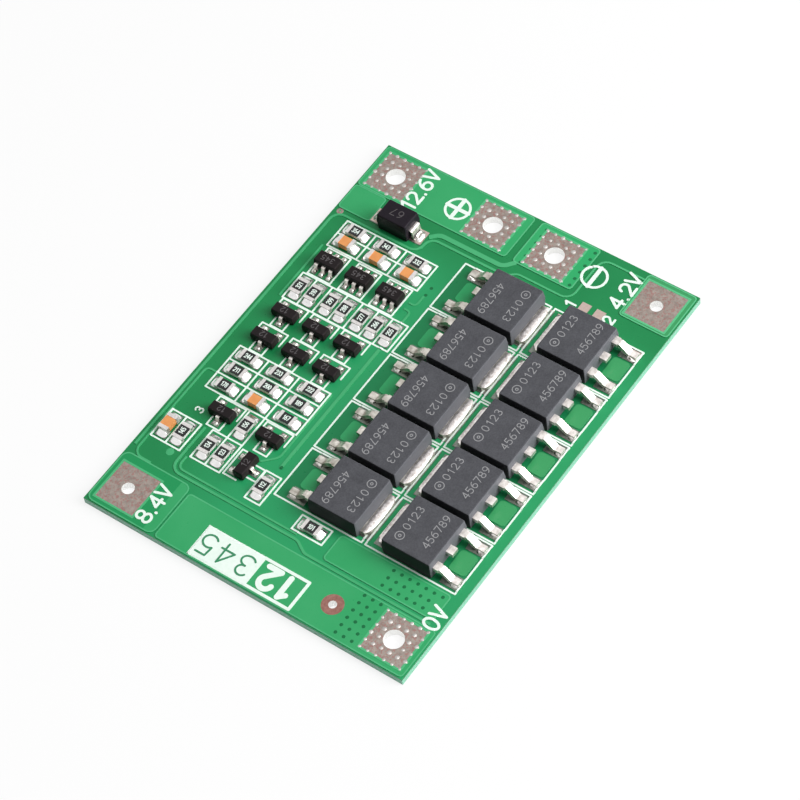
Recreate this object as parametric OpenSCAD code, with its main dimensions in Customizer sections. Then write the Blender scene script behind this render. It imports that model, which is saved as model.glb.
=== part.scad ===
// Battery management board for three cells in series.
// +X runs along the long side, +Y towards the control circuits, +Z up out of the component side.
// The origin is the centre of the underside. All sizes are in millimetres.

/* [Board] */
// Finished thickness of the board, foil included
board_t = 1.0; // [0.6:0.1:2.4]
// Thickness of the copper foil with its finish
foil_t = 0.07; // [0.035:0.005:0.14]
// Distance from the board's edges to the terminals
terminal_margin = 0.8; // [0.5:0.05:3]
// Distance from the board's edges to the copper pours
pour_margin = 0.2; // [0.1:0.05:0.5]
// Distance from the left terminals to the first power transistor
left_channel = 5.08; // [4.6:0.02:9]
// Distance from the last power transistor to the right terminals
right_channel = 3.18; // [3:0.02:8]
// Distance from the lower lead tips to the board's edge
solder_margin = 1.28; // [0.8:0.02:5]
// Distance between the tabs of the two transistor rows
row_gap = 0.96; // [0.7:0.02:4]
// Distance from the upper lead tips to the control circuits
control_gap = 1.91; // [1.8:0.01:6]
// Distance from the control circuits to the board's edge
control_margin = 2.35; // [2.2:0.05:6]

/* [Terminals] */
// Side of the square solder terminals
terminal_size = 5.0; // [4:0.1:6]
// Diameter of the wire holes in the power terminals
power_hole_d = 2.2; // [1:0.05:3]
// Diameter of the wire holes in the cell tap terminals
tap_hole_d = 1.4; // [0.8:0.05:2.4]
// Wall of the plated barrels
plating_t = 0.17; // [0.05:0.01:0.3]
// Distance between the centres of the two output terminals
output_pitch = 7.95; // [7.3:0.05:9]
// Distance between stitching vias
via_pitch = 0.98; // [0.9:0.02:1.2]
// Diameter of a solder-filled stitching via
via_d = 0.44; // [0.3:0.02:0.55]
// Height of the solder crown on a filled via
via_crown = 0.03; // [0.01:0.01:0.06]
// Outer diameter of the sense eyelet
eyelet_d = 2.4; // [1.8:0.1:3]
// Diameter of the hole in the sense eyelet
eyelet_hole_d = 0.9; // [0.6:0.05:1.2]
// Distance from the pack minus terminal to the sense eyelet's centre
eyelet_gap = 5.0; // [4.6:0.1:7]
// Side of the two square test lands
test_land_size = 1.15; // [0.8:0.05:1.3]
// Distance between the centres of the two test lands
test_land_pitch = 1.8; // [1.5:0.05:2.6]
// Distance from the last power transistor to the test lands
test_land_gap = 1.05; // [0.6:0.05:1.2]

/* [Power transistors] */
// Width of the moulded body
fet_w = 6.5; // [6:0.05:7]
// Length of the moulded body, from tab side to lead side
fet_l = 6.1; // [5.6:0.05:6.6]
// Height of the moulded body
fet_h = 2.3; // [2:0.05:2.8]
// Gap between neighbouring bodies in a row
fet_gap = 0.41; // [0.2:0.01:2]
// Inward slope of the body's sides between its middle and its top
fet_draft = 0.12; // [0.05:0.01:0.25]
// Width of the metal tab
tab_w = 5.2; // [4.6:0.05:5.6]
// Thickness of the metal tab and the leads
tab_t = 0.5; // [0.4:0.02:0.6]
// Length of tab that shows beyond the body
tab_reach = 1.05; // [0.8:0.05:1.3]
// Corner cut on the tab's end
tab_cut = 0.55; // [0.2:0.05:0.7]
// Reach of the leads beyond the body
lead_reach = 2.85; // [2.6:0.05:3.2]
// Distance between the centre lead and an outer lead
lead_pitch = 2.28; // [2.1:0.02:2.4]
// Width of a lead at its foot
lead_w = 0.76; // [0.6:0.02:0.9]
// Width of a lead at its shoulder
shoulder_w = 0.95; // [0.8:0.05:1.1]
// Height of the leads' underside where they leave the body
lead_exit_h = 0.95; // [0.7:0.05:1.1]
// Length of the cut centre lead
stub_l = 0.8; // [0.5:0.05:1]
// Length of a lead's flat foot
foot_l = 0.95; // [0.7:0.05:1.1]

/* [Small packages] */
// Length of a chip resistor or capacitor
chip_l = 2.0; // [1.8:0.05:2.2]
// Width of a chip resistor or capacitor
chip_w = 1.25; // [1.15:0.05:1.35]
// Height of a chip resistor
resistor_h = 0.5; // [0.4:0.05:0.65]
// Height of a chip capacitor
capacitor_h = 0.85; // [0.6:0.05:1.25]
// Length of the metal cap on a chip resistor's end
resistor_cap_l = 0.38; // [0.25:0.02:0.5]
// Length of the metal cap on a chip capacitor's end
capacitor_cap_l = 0.42; // [0.3:0.02:0.6]
// Thickness of the metal caps
cap_t = 0.04; // [0.02:0.01:0.08]
// Length of a small transistor's body
sot_l = 2.9; // [2.7:0.05:3.1]
// Width of a small transistor's body
sot_w = 1.3; // [1.2:0.05:1.4]
// Height of a small transistor's top above its lands
sot_h = 1.1; // [0.9:0.05:1.25]
// Span of a small transistor across its lead tips
sot_span = 2.4; // [2.2:0.05:2.6]
// Distance from a small transistor's middle to its paired leads
sot_pitch = 0.95; // [0.9:0.01:1]
// Width of the small packages' leads
small_lead_w = 0.42; // [0.3:0.02:0.5]
// Thickness of the small packages' leads
small_lead_t = 0.13; // [0.1:0.01:0.18]
// Length of a monitor chip's body
monitor_l = 2.9; // [2.7:0.05:3.1]
// Width of a monitor chip's body
monitor_w = 1.6; // [1.5:0.05:1.75]
// Height of a monitor chip's top above its lands
monitor_h = 1.15; // [1:0.05:1.3]
// Span of a monitor chip across its lead tips
monitor_span = 2.8; // [2.65:0.05:3]
// Gap under the small moulded bodies
standoff = 0.06; // [0.02:0.01:0.1]

/* [Diode] */
// Length of the diode's body
diode_l = 3.9; // [3.6:0.05:4.4]
// Width of the diode's body
diode_w = 2.7; // [2.4:0.05:2.9]
// Height of the diode's body
diode_h = 2.3; // [2:0.05:2.6]
// Width of the diode's leads
diode_lead_w = 1.45; // [1.2:0.05:1.6]
// Thickness of the diode's leads
diode_lead_t = 0.2; // [0.15:0.01:0.3]
// Reach of the diode's leads beyond its body
diode_reach = 0.75; // [0.5:0.05:1]
// Gap between the last control column and the diode
diode_gap = 0.93; // [0.7:0.01:3]
// Distance from the diode's body to the right terminals
diode_clear = 1.5; // [1.3:0.05:6]
// Offset of the diode from the middle control row
diode_shift = 0.65; // [-0.5:0.05:1]

/* [Control circuits] */
// Distance from the left terminals to the first control column
control_inset = 4.05; // [3.7:0.05:7]
// Solder land beyond the end of a chip
chip_land_reach = 0.62; // [0.4:0.02:0.8]
// Solder land beyond the lead tips of a small package
lead_land_reach = 0.34; // [0.2:0.02:0.5]
// Clear board between a land's end and the edge of its cell
land_clear = 0.23; // [0.15:0.01:0.4]
// Clear board beside a chip, to the edge of its cell
chip_side_clear = 0.3; // [0.25:0.01:0.5]
// Gap between neighbouring rows of the control circuits
row_space = 0.35; // [0.25:0.01:1]
// Gap between the lowest control row and the single cell under it
last_cell_gap = 0.05; // [0.02:0.01:0.5]
// Gaps between neighbouring control columns, from the left
column_gaps = [0.4, 0.25, 0.3, 0.15, 0.15, 0.15, 0.15, 0.2, 0.25, 0]; // [0:0.05:1]
// Distance from the side resistor's body to the first power transistor
side_chip_gap = 0.98; // [0.8:0.02:1.4]

/* [Solder] */
// Height of the solder on the ends of the small chips
chip_solder_h = 0.36; // [0.2:0.02:0.4]
// Height of the solder round a power transistor's foot
foot_solder_h = 0.32; // [0.2:0.02:0.45]
// Width of the solder shown on each side of a power transistor's foot
foot_solder_side = 0.26; // [0.1:0.02:0.4]

/* [Tracks] */
// Width of the narrow tracks
track_w = 0.22; // [0.15:0.01:0.35]
// Width of the broad tracks
broad_track_w = 0.55; // [0.3:0.05:0.8]
// Channel between the copper pours
channel_w = 0.35; // [0.2:0.01:0.5]
// Radius of the bends in the tracks
track_bend_r = 1.2; // [0.6:0.1:1.8]
// Corner radius of the copper pours
pour_r = 0.4; // [0.2:0.05:0.8]

/* [Hidden] */
FETS_A_ROW = 5;
FETS = 2 * FETS_A_ROW;
MONITORS = 3;
TRANSISTORS = 9;

// Fineness of round holes and of bends
$fn = 48;
bend_steps = 5;

// Heights: bare board, then foil, then everything that is soldered on
core_t = board_t - foil_t;
land_z = board_t;

// Cells of the control circuits
chip_cell_l = chip_l + 2 * (chip_land_reach + land_clear);
chip_cell_w = chip_w + 2 * chip_side_clear;
sot_cell_l = sot_span + 2 * (lead_land_reach + land_clear);
monitor_cell_l = monitor_span + 2 * (lead_land_reach + land_clear);
row_h = max(chip_cell_l, 2 * chip_cell_w);
row_pitch = row_h + row_space;

// Columns of the control circuits, from the left
column_w = [chip_cell_l, sot_cell_l, chip_cell_w, chip_cell_w, chip_cell_w, sot_cell_l,
            sot_cell_l, chip_cell_l, monitor_cell_l, chip_cell_w, chip_cell_w];
function total(v, n) = n <= 0 ? 0 : v[n - 1] + total(v, n - 1);
control_l = total(column_w, len(column_w)) + total(column_gaps, len(column_gaps));

// The board is as long and as wide as what it carries needs
fet_pitch = fet_w + fet_gap;
fet_reach = lead_reach + fet_l + tab_reach;
fet_row_l = (FETS_A_ROW - 1) * fet_pitch + fet_w;
power_stack_l = left_channel + fet_row_l + right_channel;
control_stack_l = control_inset + control_l + diode_gap + diode_w + diode_clear;
board_l = 2 * (terminal_margin + terminal_size) + max(power_stack_l, control_stack_l);
control_h = chip_cell_w + last_cell_gap + 3 * row_h + 2 * row_space;
board_w = solder_margin + 2 * fet_reach + row_gap + control_gap + control_h + control_margin;

// Places along X
board_left = -board_l / 2;
board_right = board_l / 2;
terminal_x = board_right - terminal_margin - terminal_size / 2;
left_terminals_end = board_left + terminal_margin + terminal_size;
right_terminals_start = -left_terminals_end;
fet_left = left_terminals_end + left_channel;
fet_right = fet_left + fet_row_l;
control_left = left_terminals_end + control_inset;
control_right = control_left + control_l;
function column_x(c) = control_left + total(column_w, c) + total(column_gaps, c) + column_w[c] / 2;
diode_x = right_terminals_start - diode_clear - diode_w / 2;
side_chip_x = fet_left - side_chip_gap - chip_w / 2;
test_land_x = fet_right + test_land_gap + test_land_size / 2;

// Places along Y
board_bottom = -board_w / 2;
board_top = board_w / 2;
terminal_y = board_top - terminal_margin - terminal_size / 2;
lower_fet_y = board_bottom + solder_margin + lead_reach + fet_l / 2;
upper_fet_y = lower_fet_y + fet_l + 2 * tab_reach + row_gap;
upper_tips_y = upper_fet_y + fet_l / 2 + lead_reach;
control_bottom = upper_tips_y + control_gap;
control_top = control_bottom + control_h;
last_cell_y = control_bottom + chip_cell_w / 2;
first_row_y = control_bottom + chip_cell_w + last_cell_gap + row_h / 2;
function row_y(r) = first_row_y + r * row_pitch;
half_cell = chip_cell_w / 2;
diode_y = row_y(1) + diode_shift;
side_chip_y = upper_fet_y + fet_l / 2 - chip_cell_l / 2 + land_clear;
test_land_y = lower_fet_y + fet_l / 4;
eyelet_y = terminal_size / 2 - terminal_y + eyelet_gap;

// Terminals: x, y and hole
pack_plus = [terminal_x, terminal_y, power_hole_d];
output_plus = [terminal_x, output_pitch / 2, power_hole_d];
output_minus = [terminal_x, -output_pitch / 2, power_hole_d];
cell_one_tap = [terminal_x, -terminal_y, tap_hole_d];
cell_two_tap = [-terminal_x, terminal_y, tap_hole_d];
pack_minus = [-terminal_x, -terminal_y, power_hole_d];
eyelet = [-terminal_x, eyelet_y, eyelet_hole_d];
terminals = [pack_plus, output_plus, output_minus, cell_one_tap, cell_two_tap, pack_minus];
stitched_terminals = [pack_plus, output_plus, output_minus, pack_minus];

// Small parts: x, y and turn about Z, with turn 0 along X for chips and single lead on -X
top_pair_y = row_y(2) + 1.25 * half_cell;
resistors = concat(
    [for (r = [0:2], s = [-1, 1]) [column_x(7), row_y(r) + s * half_cell, 0]],
    [[column_x(7), last_cell_y, 0]],
    [for (r = [0:2], c = [3, 4, 10]) [column_x(c), row_y(r), 90]],
    [for (r = [0, 2]) [column_x(2), row_y(r), 90]],
    [for (s = [-1, 1]) [column_x(0), row_y(1) + s * half_cell, 0]],
    [[column_x(0), top_pair_y - half_cell, 0],
     [column_x(1), row_y(1) - half_cell, 0],
     [column_x(0) - chip_l / 2, last_cell_y, 0],
     [side_chip_x, side_chip_y, 90]]);
capacitors = concat(
    [for (r = [0:2]) [column_x(9), row_y(r), 90]],
    [[column_x(2), row_y(1), 90], [column_x(0), top_pair_y + half_cell, 0]]);
transistors = concat(
    [for (c = [5, 6], r = [0:2]) [column_x(c), row_y(r), 0]],
    [[column_x(1), row_y(0), 0],
     [column_x(1), row_y(1) + row_space + sot_l / 2 + chip_side_clear, 0],
     [column_x(0), row_y(0), 90]]);
monitors = [for (r = [0:2]) [column_x(8), row_y(r), 0]];

// Power transistor i, from 1: the lower row first, then the upper row turned round
function fet_upper(i) = i > FETS_A_ROW;
function fet_x(i) = fet_left + fet_w / 2 + ((i - 1) % FETS_A_ROW) * fet_pitch;
function fet_y(i) = fet_upper(i) ? upper_fet_y : lower_fet_y;

// Outlines: bends of radius most, or less beside a short stretch, in an open path or a closed outline
bend_share = 0.48;
function unit(v) = v / norm(v);
function bend(a, b, c, most) =
    let (u = unit(a - b), v = unit(c - b), half = acos(u * v) / 2,
         r = min(most, bend_share * min(norm(a - b), norm(c - b)) * tan(half)),
         centre = b + unit(u + v) * r / sin(half),
         from = b + u * r / tan(half) - centre, to = b + v * r / tan(half) - centre,
         turn = atan2(cross(from, to), from * to))
    [for (k = [0:bend_steps]) let (t = turn * k / bend_steps)
        centre + [cos(t) * from.x - sin(t) * from.y, sin(t) * from.x + cos(t) * from.y]];
function bent_path(p, r) =
    concat([p[0]], [for (i = [1:len(p) - 2]) each bend(p[i - 1], p[i], p[i + 1], r)], [p[len(p) - 1]]);
function rounded_outline(p, r) =
    [for (i = [0:len(p) - 1]) each bend(p[(i + len(p) - 1) % len(p)], p[i], p[(i + 1) % len(p)], r)];
function reversed(v) = [for (i = [len(v) - 1:-1:0]) v[i]];

// Strip of width w along a path: both sides, mitred at each point
function left_of(v) = unit([-v.y, v.x]);
function mitre(p, i) =
    let (n = len(p) - 1,
         before = left_of(i == 0 ? p[1] - p[0] : p[i] - p[i - 1]),
         after = left_of(i == n ? p[n] - p[n - 1] : p[i + 1] - p[i]),
         m = unit(before + after))
    m / (m * before);
function side(p, d) = [for (i = [0:len(p) - 1]) p[i] + d * mitre(p, i)];
function strip(p, w) = concat(side(p, w / 2), reversed(side(p, -w / 2)));

// Centred bars and plates, standing on z = 0
module bar(size) { translate([-size.x / 2, -size.y / 2, 0]) cube(size); }
module plate(x0, y0, x1, y1, r) {
    linear_extrude(foil_t) polygon(rounded_outline([[x0, y0], [x1, y0], [x1, y1], [x0, y1]], r));
}
module place(p) { translate([p[0], p[1], land_z]) rotate([0, 0, p[2]]) children(); }

// Section through an outline that lies in X and Z, w wide along Y
module standing(w, outline) { rotate([90, 0, 0]) linear_extrude(w, center = true) polygon(outline); }

// Moulded block whose sides slope inwards above and below their parting line
function mould_section(s, z0, z1, parting, draft) =
    [[draft / 2 - s / 2, z0], [s / 2 - draft / 2, z0], [s / 2, parting],
     [s / 2 - draft, z1], [draft - s / 2, z1], [-s / 2, parting]];
module mould(l, w, z0, z1, parting, draft) {
    intersection() {
        standing(w, mould_section(l, z0, z1, parting, draft));
        rotate([0, 0, 90]) standing(l, mould_section(w, z0, z1, parting, draft));
    }
}

// Bent lead that leaves a body towards +X at height z, t thick, and ends in a flat foot
lead_bend = 0.75;
module gull_lead(inside, shoulder, reach, foot, z, t, w) {
    path = [[-inside, z + t / 2], [shoulder, z + t / 2], [reach - foot, t / 2], [reach, t / 2]];
    standing(w, strip(bent_path(path, lead_bend * t), t));
}

// Board: bare core with holes for the barrels, and seats for the lower lands
module circuit_board() {
    color("seagreen") difference() {
        translate([board_left, board_bottom, 0]) cube([board_l, board_w, core_t]);
        for (t = concat(terminals, [eyelet])) translate([t.x, t.y, 0]) barrel(t[2], board_t);
        for (t = terminals) translate([t.x, t.y, 0]) bar([terminal_size, terminal_size, foil_t]);
        translate([eyelet.x, eyelet.y, 0]) cylinder(d = eyelet_d, h = foil_t);
    }
}
module barrel(hole_d, h) { cylinder(d = hole_d + 2 * plating_t, h = h); }

// Terminal: upper land, plated barrel and lower land in one piece
module terminal(t) {
    color("rosybrown") translate([t.x, t.y, 0]) difference() {
        union() {
            bar([terminal_size, terminal_size, foil_t]);
            barrel(t[2], board_t);
            translate([0, 0, core_t]) bar([terminal_size, terminal_size, foil_t]);
        }
        translate([0, 0, -foil_t]) cylinder(d = t[2], h = board_t + 2 * foil_t);
    }
}
module sense_eyelet() {
    color("rosybrown") translate([eyelet.x, eyelet.y, 0]) difference() {
        union() {
            cylinder(d = eyelet_d, h = foil_t);
            barrel(eyelet_hole_d, board_t);
            translate([0, 0, core_t]) cylinder(d = eyelet_d, h = foil_t);
        }
        translate([0, 0, -foil_t]) cylinder(d = eyelet_hole_d, h = board_t + 2 * foil_t);
    }
}

// Crowns of solder on the stitching vias: a ring round each power hole, and one on the land's edge
function ring_places(n) =
    [for (i = [0:n - 1], j = [0:n - 1]) if (i == 0 || j == 0 || i == n - 1 || j == n - 1)
        [i - (n - 1) / 2, j - (n - 1) / 2] * via_pitch];
crown_places = concat(ring_places(4), ring_places(6));
module via_plugs() {
    color("gainsboro") for (t = stitched_terminals, v = crown_places)
        translate([t.x + v.x, t.y + v.y, land_z]) cylinder(d = via_d, h = via_crown, $fn = 12);
}

// Sizes of the solder lands: under a power transistor's foot and tab, and under the small leads
land_rim = 0.12;
fet_land_w = lead_w + 2 * (foot_solder_side + land_rim);
fet_land_l = foot_l + fet_l / 5;
foot_land_tip = fet_l / 2 + lead_reach + land_rim;
tab_land_w = tab_w + 4 * land_rim;
tab_land_l = fet_l / 2 + tab_reach + 2 * land_rim;
small_land_w = small_lead_w + 4 * land_rim;
monitor_land_w = sot_pitch * 2 / 3;
small_land_l = 3 * lead_land_reach;
diode_land_w = diode_lead_w + 4 * land_rim;
diode_tip = diode_l / 2 + diode_reach + chip_land_reach;
diode_land_l = diode_tip - diode_l * 0.35;

// Copper under the mask: broad pours round the terminals
pour_left = board_left + pour_margin;
pour_right = board_right - pour_margin;
left_pour_end = left_terminals_end + channel_w;
right_pour_start = right_terminals_start - channel_w;
tap_pour_tail = 3;
tap_pour_bottom = terminal_y - terminal_size / 2 - tap_pour_tail;
tap_pour_side = 0.75;
first_tap_top = terminal_size / 2 - terminal_y + channel_w;
output_split = 0.5;
output_pour_tail = 1.4;
output_minus_bottom = -(output_pitch + terminal_size) / 2 - output_pour_tail;
source_pour_left = left_pour_end + 2.8 * channel_w;
source_pour_clear = 0.55;
diode_pour_inset = 0.25;
patch_clear = 0.2;
patch_w = 2 * lead_pitch - fet_land_w - 2 * patch_clear;
module pour_shapes() {
    // Pack minus, with the eyelet and the stitched field
    plate(pour_left, board_bottom + pour_margin, left_pour_end, tap_pour_bottom - channel_w, pour_r);
    // Second cell tap
    plate(pour_left, tap_pour_bottom, left_pour_end + tap_pour_side, board_top - pour_margin, 2 * pour_r);
    // Pack plus and output plus
    plate(right_pour_start, output_split, pour_right, board_top - pour_margin, pour_r);
    // Output minus
    plate(right_pour_start, output_minus_bottom, pour_right, -output_split, pour_r);
    // First cell tap
    plate(right_pour_start, board_bottom + pour_margin, pour_right, first_tap_top, pour_r);
    // Behind the diode
    plate(diode_x - diode_w / 2 + diode_pour_inset, diode_y + diode_tip,
          right_pour_start - channel_w / 2, board_top - pour_margin, pour_r);
    // Source of the lower transistors, left of the row
    plate(source_pour_left, board_bottom + solder_margin, fet_left - source_pour_clear,
          upper_fet_y - fet_l / 4, pour_r);
    // Lands of bare mask between the leads of each power transistor
    for (i = [1:FETS]) translate([fet_x(i), fet_y(i), 0]) rotate([0, 0, fet_upper(i) ? 180 : 0])
        plate(-patch_w / 2, patch_clear - fet_l / 2 - lead_reach,
              patch_w / 2, patch_clear - fet_l / 2 - stub_l, pour_r);
}
module pour_windows() {
    for (t = terminals) translate([t.x, t.y, 0]) bar([terminal_size, terminal_size, foil_t]);
    translate([eyelet.x, eyelet.y, 0]) cylinder(d = eyelet_d, h = foil_t);
}
module copper_pours() {
    color("mediumseagreen") translate([0, 0, core_t]) difference() {
        pour_shapes();
        pour_windows();
    }
}

// Copper under the mask: tracks, each a bent path
module track(p, w) { linear_extrude(foil_t) polygon(strip(bent_path(p, track_bend_r), w)); }
track_space = 0.45;
sense_x = left_pour_end + track_space;
sense_upper_x = sense_x + 2 * track_space;
sense_top = row_y(1) + row_h / 2 + 2 * track_space;
inner_x = control_left - 4 * track_space;
inner_top = row_y(1) + row_h / 2 + row_space;
over_x = left_pour_end + 2 * track_space;
over_y = top_pair_y + chip_cell_w + track_w;
over_end_x = column_x(2) + (chip_cell_w + column_gaps[2]) / 2;
edge_x = control_right + track_space;
fence_x = fet_right + right_channel / 4;
under_row_y = row_y(0) - row_h / 2 - track_w;
last_line_y = last_cell_y - track_w / 2;
return_x = right_pour_start - broad_track_w / 2 - 2 * track_space;
loop_y = output_minus_bottom - 2 * channel_w;
loop_end_x = terminal_x + terminal_size / 2 - track_w;
module copper_tracks() {
    color("lightgreen") translate([0, 0, core_t]) difference() {
        union() {
            // Sense line beside the left pour
            track([[sense_x, board_bottom + solder_margin], [sense_x, side_chip_y - chip_l / 2],
                   [sense_upper_x, side_chip_y + chip_l / 4], [sense_upper_x, sense_top],
                   [column_x(0) + chip_cell_l / 2, sense_top]], 1.3 * track_w);
            // Line inside it
            track([[inner_x, side_chip_y + chip_l / 2], [inner_x, inner_top],
                   [control_left - track_w, inner_top]], track_w);
            // Line over the control circuits
            track([[over_x, terminal_y], [over_x, over_y], [over_end_x, over_y],
                   [over_end_x, control_top + track_w]], track_w);
            // Line along the board's edge and down beside the control circuits
            track([[inner_x, board_top - track_space], [edge_x, board_top - track_space],
                   [edge_x, row_y(0) + chip_l / 2], [fence_x, row_y(0) + chip_l / 2],
                   [fence_x, upper_fet_y + fet_l / 2 + stub_l]], 1.3 * track_w);
            // Lines under the control circuits
            track([[column_x(0) + chip_l, last_line_y],
                   [column_x(7) - chip_cell_l / 2 - track_w, last_line_y]], 1.6 * track_w);
            track([[column_x(0) + sot_l / 2, row_y(0) - sot_w / 2],
                   [column_x(1) - sot_span / 2, under_row_y],
                   [column_x(4) + half_cell, under_row_y]], track_w);
            for (s = [-1, 1])
                track([[column_x(8) + s * track_space, under_row_y],
                       [column_x(8) + s * track_space, last_line_y],
                       [column_x(8) + s * monitor_cell_l / 2, last_line_y]], track_w);
            track([[column_x(7) - chip_cell_l / 2, control_top + track_space],
                   [column_x(8) + monitor_cell_l / 2, control_top + track_space]], track_w);
            // Broad return from the diode to the output minus pour
            track([[diode_x + track_space, diode_y - diode_tip - broad_track_w / 2],
                   [return_x, diode_y - diode_tip - 2 * broad_track_w],
                   [return_x, 0], [right_pour_start, -2 * output_split]], broad_track_w);
            // Line round the output minus pour
            track([[fence_x + track_w, upper_fet_y + fet_l / 2 - track_space],
                   [return_x, -output_pitch / 4], [return_x, loop_y],
                   [loop_end_x, loop_y], [loop_end_x, first_tap_top]], track_w);
        }
        pour_shapes();
    }
}

// Solder lands on the core, one under each foot, tab and chip end
module flat_land(x0, x1, w) { translate([x0, -w / 2, -foil_t]) cube([x1 - x0, w, foil_t]); }
module chip_lands() {
    for (a = [0, 180]) rotate([0, 0, a])
        flat_land(chip_l / 2 - capacitor_cap_l, chip_l / 2 + chip_land_reach, chip_w + land_rim);
}
module solder_lands() {
    color("silver") {
        for (p = concat(resistors, capacitors)) place(p) chip_lands();
        for (p = transistors) place(p) sot_places()
            flat_land(sot_span / 2 + lead_land_reach - small_land_l, sot_span / 2 + lead_land_reach,
                      small_land_w);
        for (p = monitors) place(p) monitor_places()
            flat_land(monitor_span / 2 + lead_land_reach - small_land_l,
                      monitor_span / 2 + lead_land_reach, monitor_land_w);
        for (i = [1:FETS]) fet_place(i) {
            rotate([0, 0, 90]) flat_land(0, tab_land_l, tab_land_w);
            fet_feet() flat_land(foot_land_tip - fet_land_l, foot_land_tip, fet_land_w);
        }
        place([diode_x, diode_y, 90]) for (a = [0, 180]) rotate([0, 0, a])
            flat_land(diode_tip - diode_land_l, diode_tip, diode_land_w);
        for (s = [-1, 1]) translate([test_land_x, test_land_y + s * test_land_pitch / 2, core_t])
            bar([test_land_size, test_land_size, foil_t]);
    }
}

// Power transistor: frame of tab and leads, with the leads towards -Y, and the body round it
module fet_place(i) {
    translate([fet_x(i), fet_y(i), land_z]) rotate([0, 0, fet_upper(i) ? 180 : 0]) children();
}
module fet_feet() {
    for (s = [-1, 1]) translate([s * lead_pitch, 0, 0]) rotate([0, 0, -90]) children();
}
tab_inner = 0.3 * fet_l;
lead_inner = 0.8;
shoulder_l = 0.85;
shoulder_side = (shoulder_w - lead_w) / 2;
module fet_metal() {
    tab_end = fet_l / 2 + tab_reach;
    linear_extrude(tab_t) polygon([
        [-tab_w / 2, -tab_inner], [tab_w / 2, -tab_inner], [tab_w / 2, tab_end - tab_cut],
        [tab_w / 2 - tab_cut, tab_end], [tab_cut - tab_w / 2, tab_end], [-tab_w / 2, tab_end - tab_cut]]);
    // Centre lead, cut short outside the body and joined to the tab inside it
    translate([-shoulder_w / 2, -fet_l / 2 - stub_l, lead_exit_h])
        cube([shoulder_w, fet_l / 2 + stub_l - tab_inner + tab_t, tab_t]);
    translate([-shoulder_w / 2, -tab_inner, tab_t]) cube([shoulder_w, tab_t, lead_exit_h - tab_t]);
    fet_feet() translate([fet_l / 2, 0, 0])
        gull_lead(lead_inner, shoulder_l, lead_reach, foot_l, lead_exit_h, tab_t, lead_w);
    // Broad shoulders of the outer leads
    fet_feet() for (y = [-shoulder_w / 2, lead_w / 2]) translate([fet_l / 2 - lead_inner, y, lead_exit_h])
        cube([lead_inner + shoulder_l - tab_t / 2, shoulder_side, tab_t]);
}
module power_transistor_frame(i) { color("lightgray") fet_place(i) fet_metal(); }
module power_transistor_body(i) {
    color("dimgray") fet_place(i) difference() {
        mould(fet_w, fet_l, 0, fet_h, lead_exit_h + tab_t / 2, fet_draft);
        fet_metal();
    }
}

// Small three-lead transistor: single lead towards -X, pair towards +X
module sot_places() {
    rotate([0, 0, 180]) children();
    for (s = [-1, 1]) translate([0, s * sot_pitch, 0]) children();
}
shoulder_share = 0.3;
foot_share = 0.45;
small_draft = 0.08;
module small_lead(body_w, span, h) {
    reach = (span - body_w) / 2;
    translate([body_w / 2, 0, 0])
        gull_lead(body_w / 6, shoulder_share * reach, reach, foot_share * reach, h / 2, small_lead_t,
                  small_lead_w);
}
module sot_leads() { sot_places() small_lead(sot_w, sot_span, sot_h); }
module transistor_leads() { color("lightgray") for (p = transistors) place(p) sot_leads(); }
module transistor_body(i) {
    color("dimgray") place(transistors[i - 1]) difference() {
        mould(sot_w, sot_l, standoff, sot_h, (sot_h + small_lead_t) / 2, small_draft);
        sot_leads();
    }
}

// Six-lead monitor chip
module monitor_places() {
    for (a = [0, 180], k = [-1:1]) rotate([0, 0, a]) translate([0, k * sot_pitch, 0]) children();
}
module monitor_lead_set() { monitor_places() small_lead(monitor_w, monitor_span, monitor_h); }
module monitor_chip_leads() { color("lightgray") for (p = monitors) place(p) monitor_lead_set(); }
module monitor_chip_body(i) {
    color("dimgray") place(monitors[i - 1]) difference() {
        mould(monitor_w, monitor_l, standoff, monitor_h, (monitor_h + small_lead_t) / 2, small_draft);
        monitor_lead_set();
    }
}

// Diode: leads leave both ends at half height and come down to their lands
module diode_metal() {
    for (a = [90, -90]) rotate([0, 0, a]) translate([diode_l / 2, 0, 0])
        gull_lead(lead_inner, diode_reach / 3, diode_reach, diode_reach / 3, diode_h / 2, diode_lead_t,
                  diode_lead_w);
}
module diode_leads() { color("lightgray") place([diode_x, diode_y, 0]) diode_metal(); }
module diode_body() {
    color("dimgray") place([diode_x, diode_y, 0]) difference() {
        mould(diode_w, diode_l, 0, diode_h, (diode_h + diode_lead_t) / 2, fet_draft);
        diode_metal();
    }
}

// Chip parts: a ceramic core and a metal cap folded round each end
glaze_t = 0.9 * cap_t;
module core_shape(h) {
    translate([0, 0, cap_t]) bar([chip_l - 2 * cap_t, chip_w - 2 * cap_t, h - 2 * cap_t]);
}
module end_caps(h, cap_l) {
    for (s = [-1, 1]) difference() {
        translate([s * (chip_l - cap_l) / 2, 0, 0]) bar([cap_l, chip_w, h]);
        core_shape(h);
    }
}
module resistor_cores() {
    color("black") for (p = resistors) place(p) {
        core_shape(resistor_h);
        // Glaze between the caps
        translate([0, 0, resistor_h - cap_t])
            bar([chip_l - 2 * resistor_cap_l, chip_w - 2 * cap_t, glaze_t]);
    }
}
module resistor_end_caps() {
    color("whitesmoke") for (p = resistors) place(p) end_caps(resistor_h, resistor_cap_l);
}
module capacitor_cores() { color("sandybrown") for (p = capacitors) place(p) core_shape(capacitor_h); }
module capacitor_end_caps() {
    color("whitesmoke") for (p = capacitors) place(p) end_caps(capacitor_h, capacitor_cap_l);
}

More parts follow.
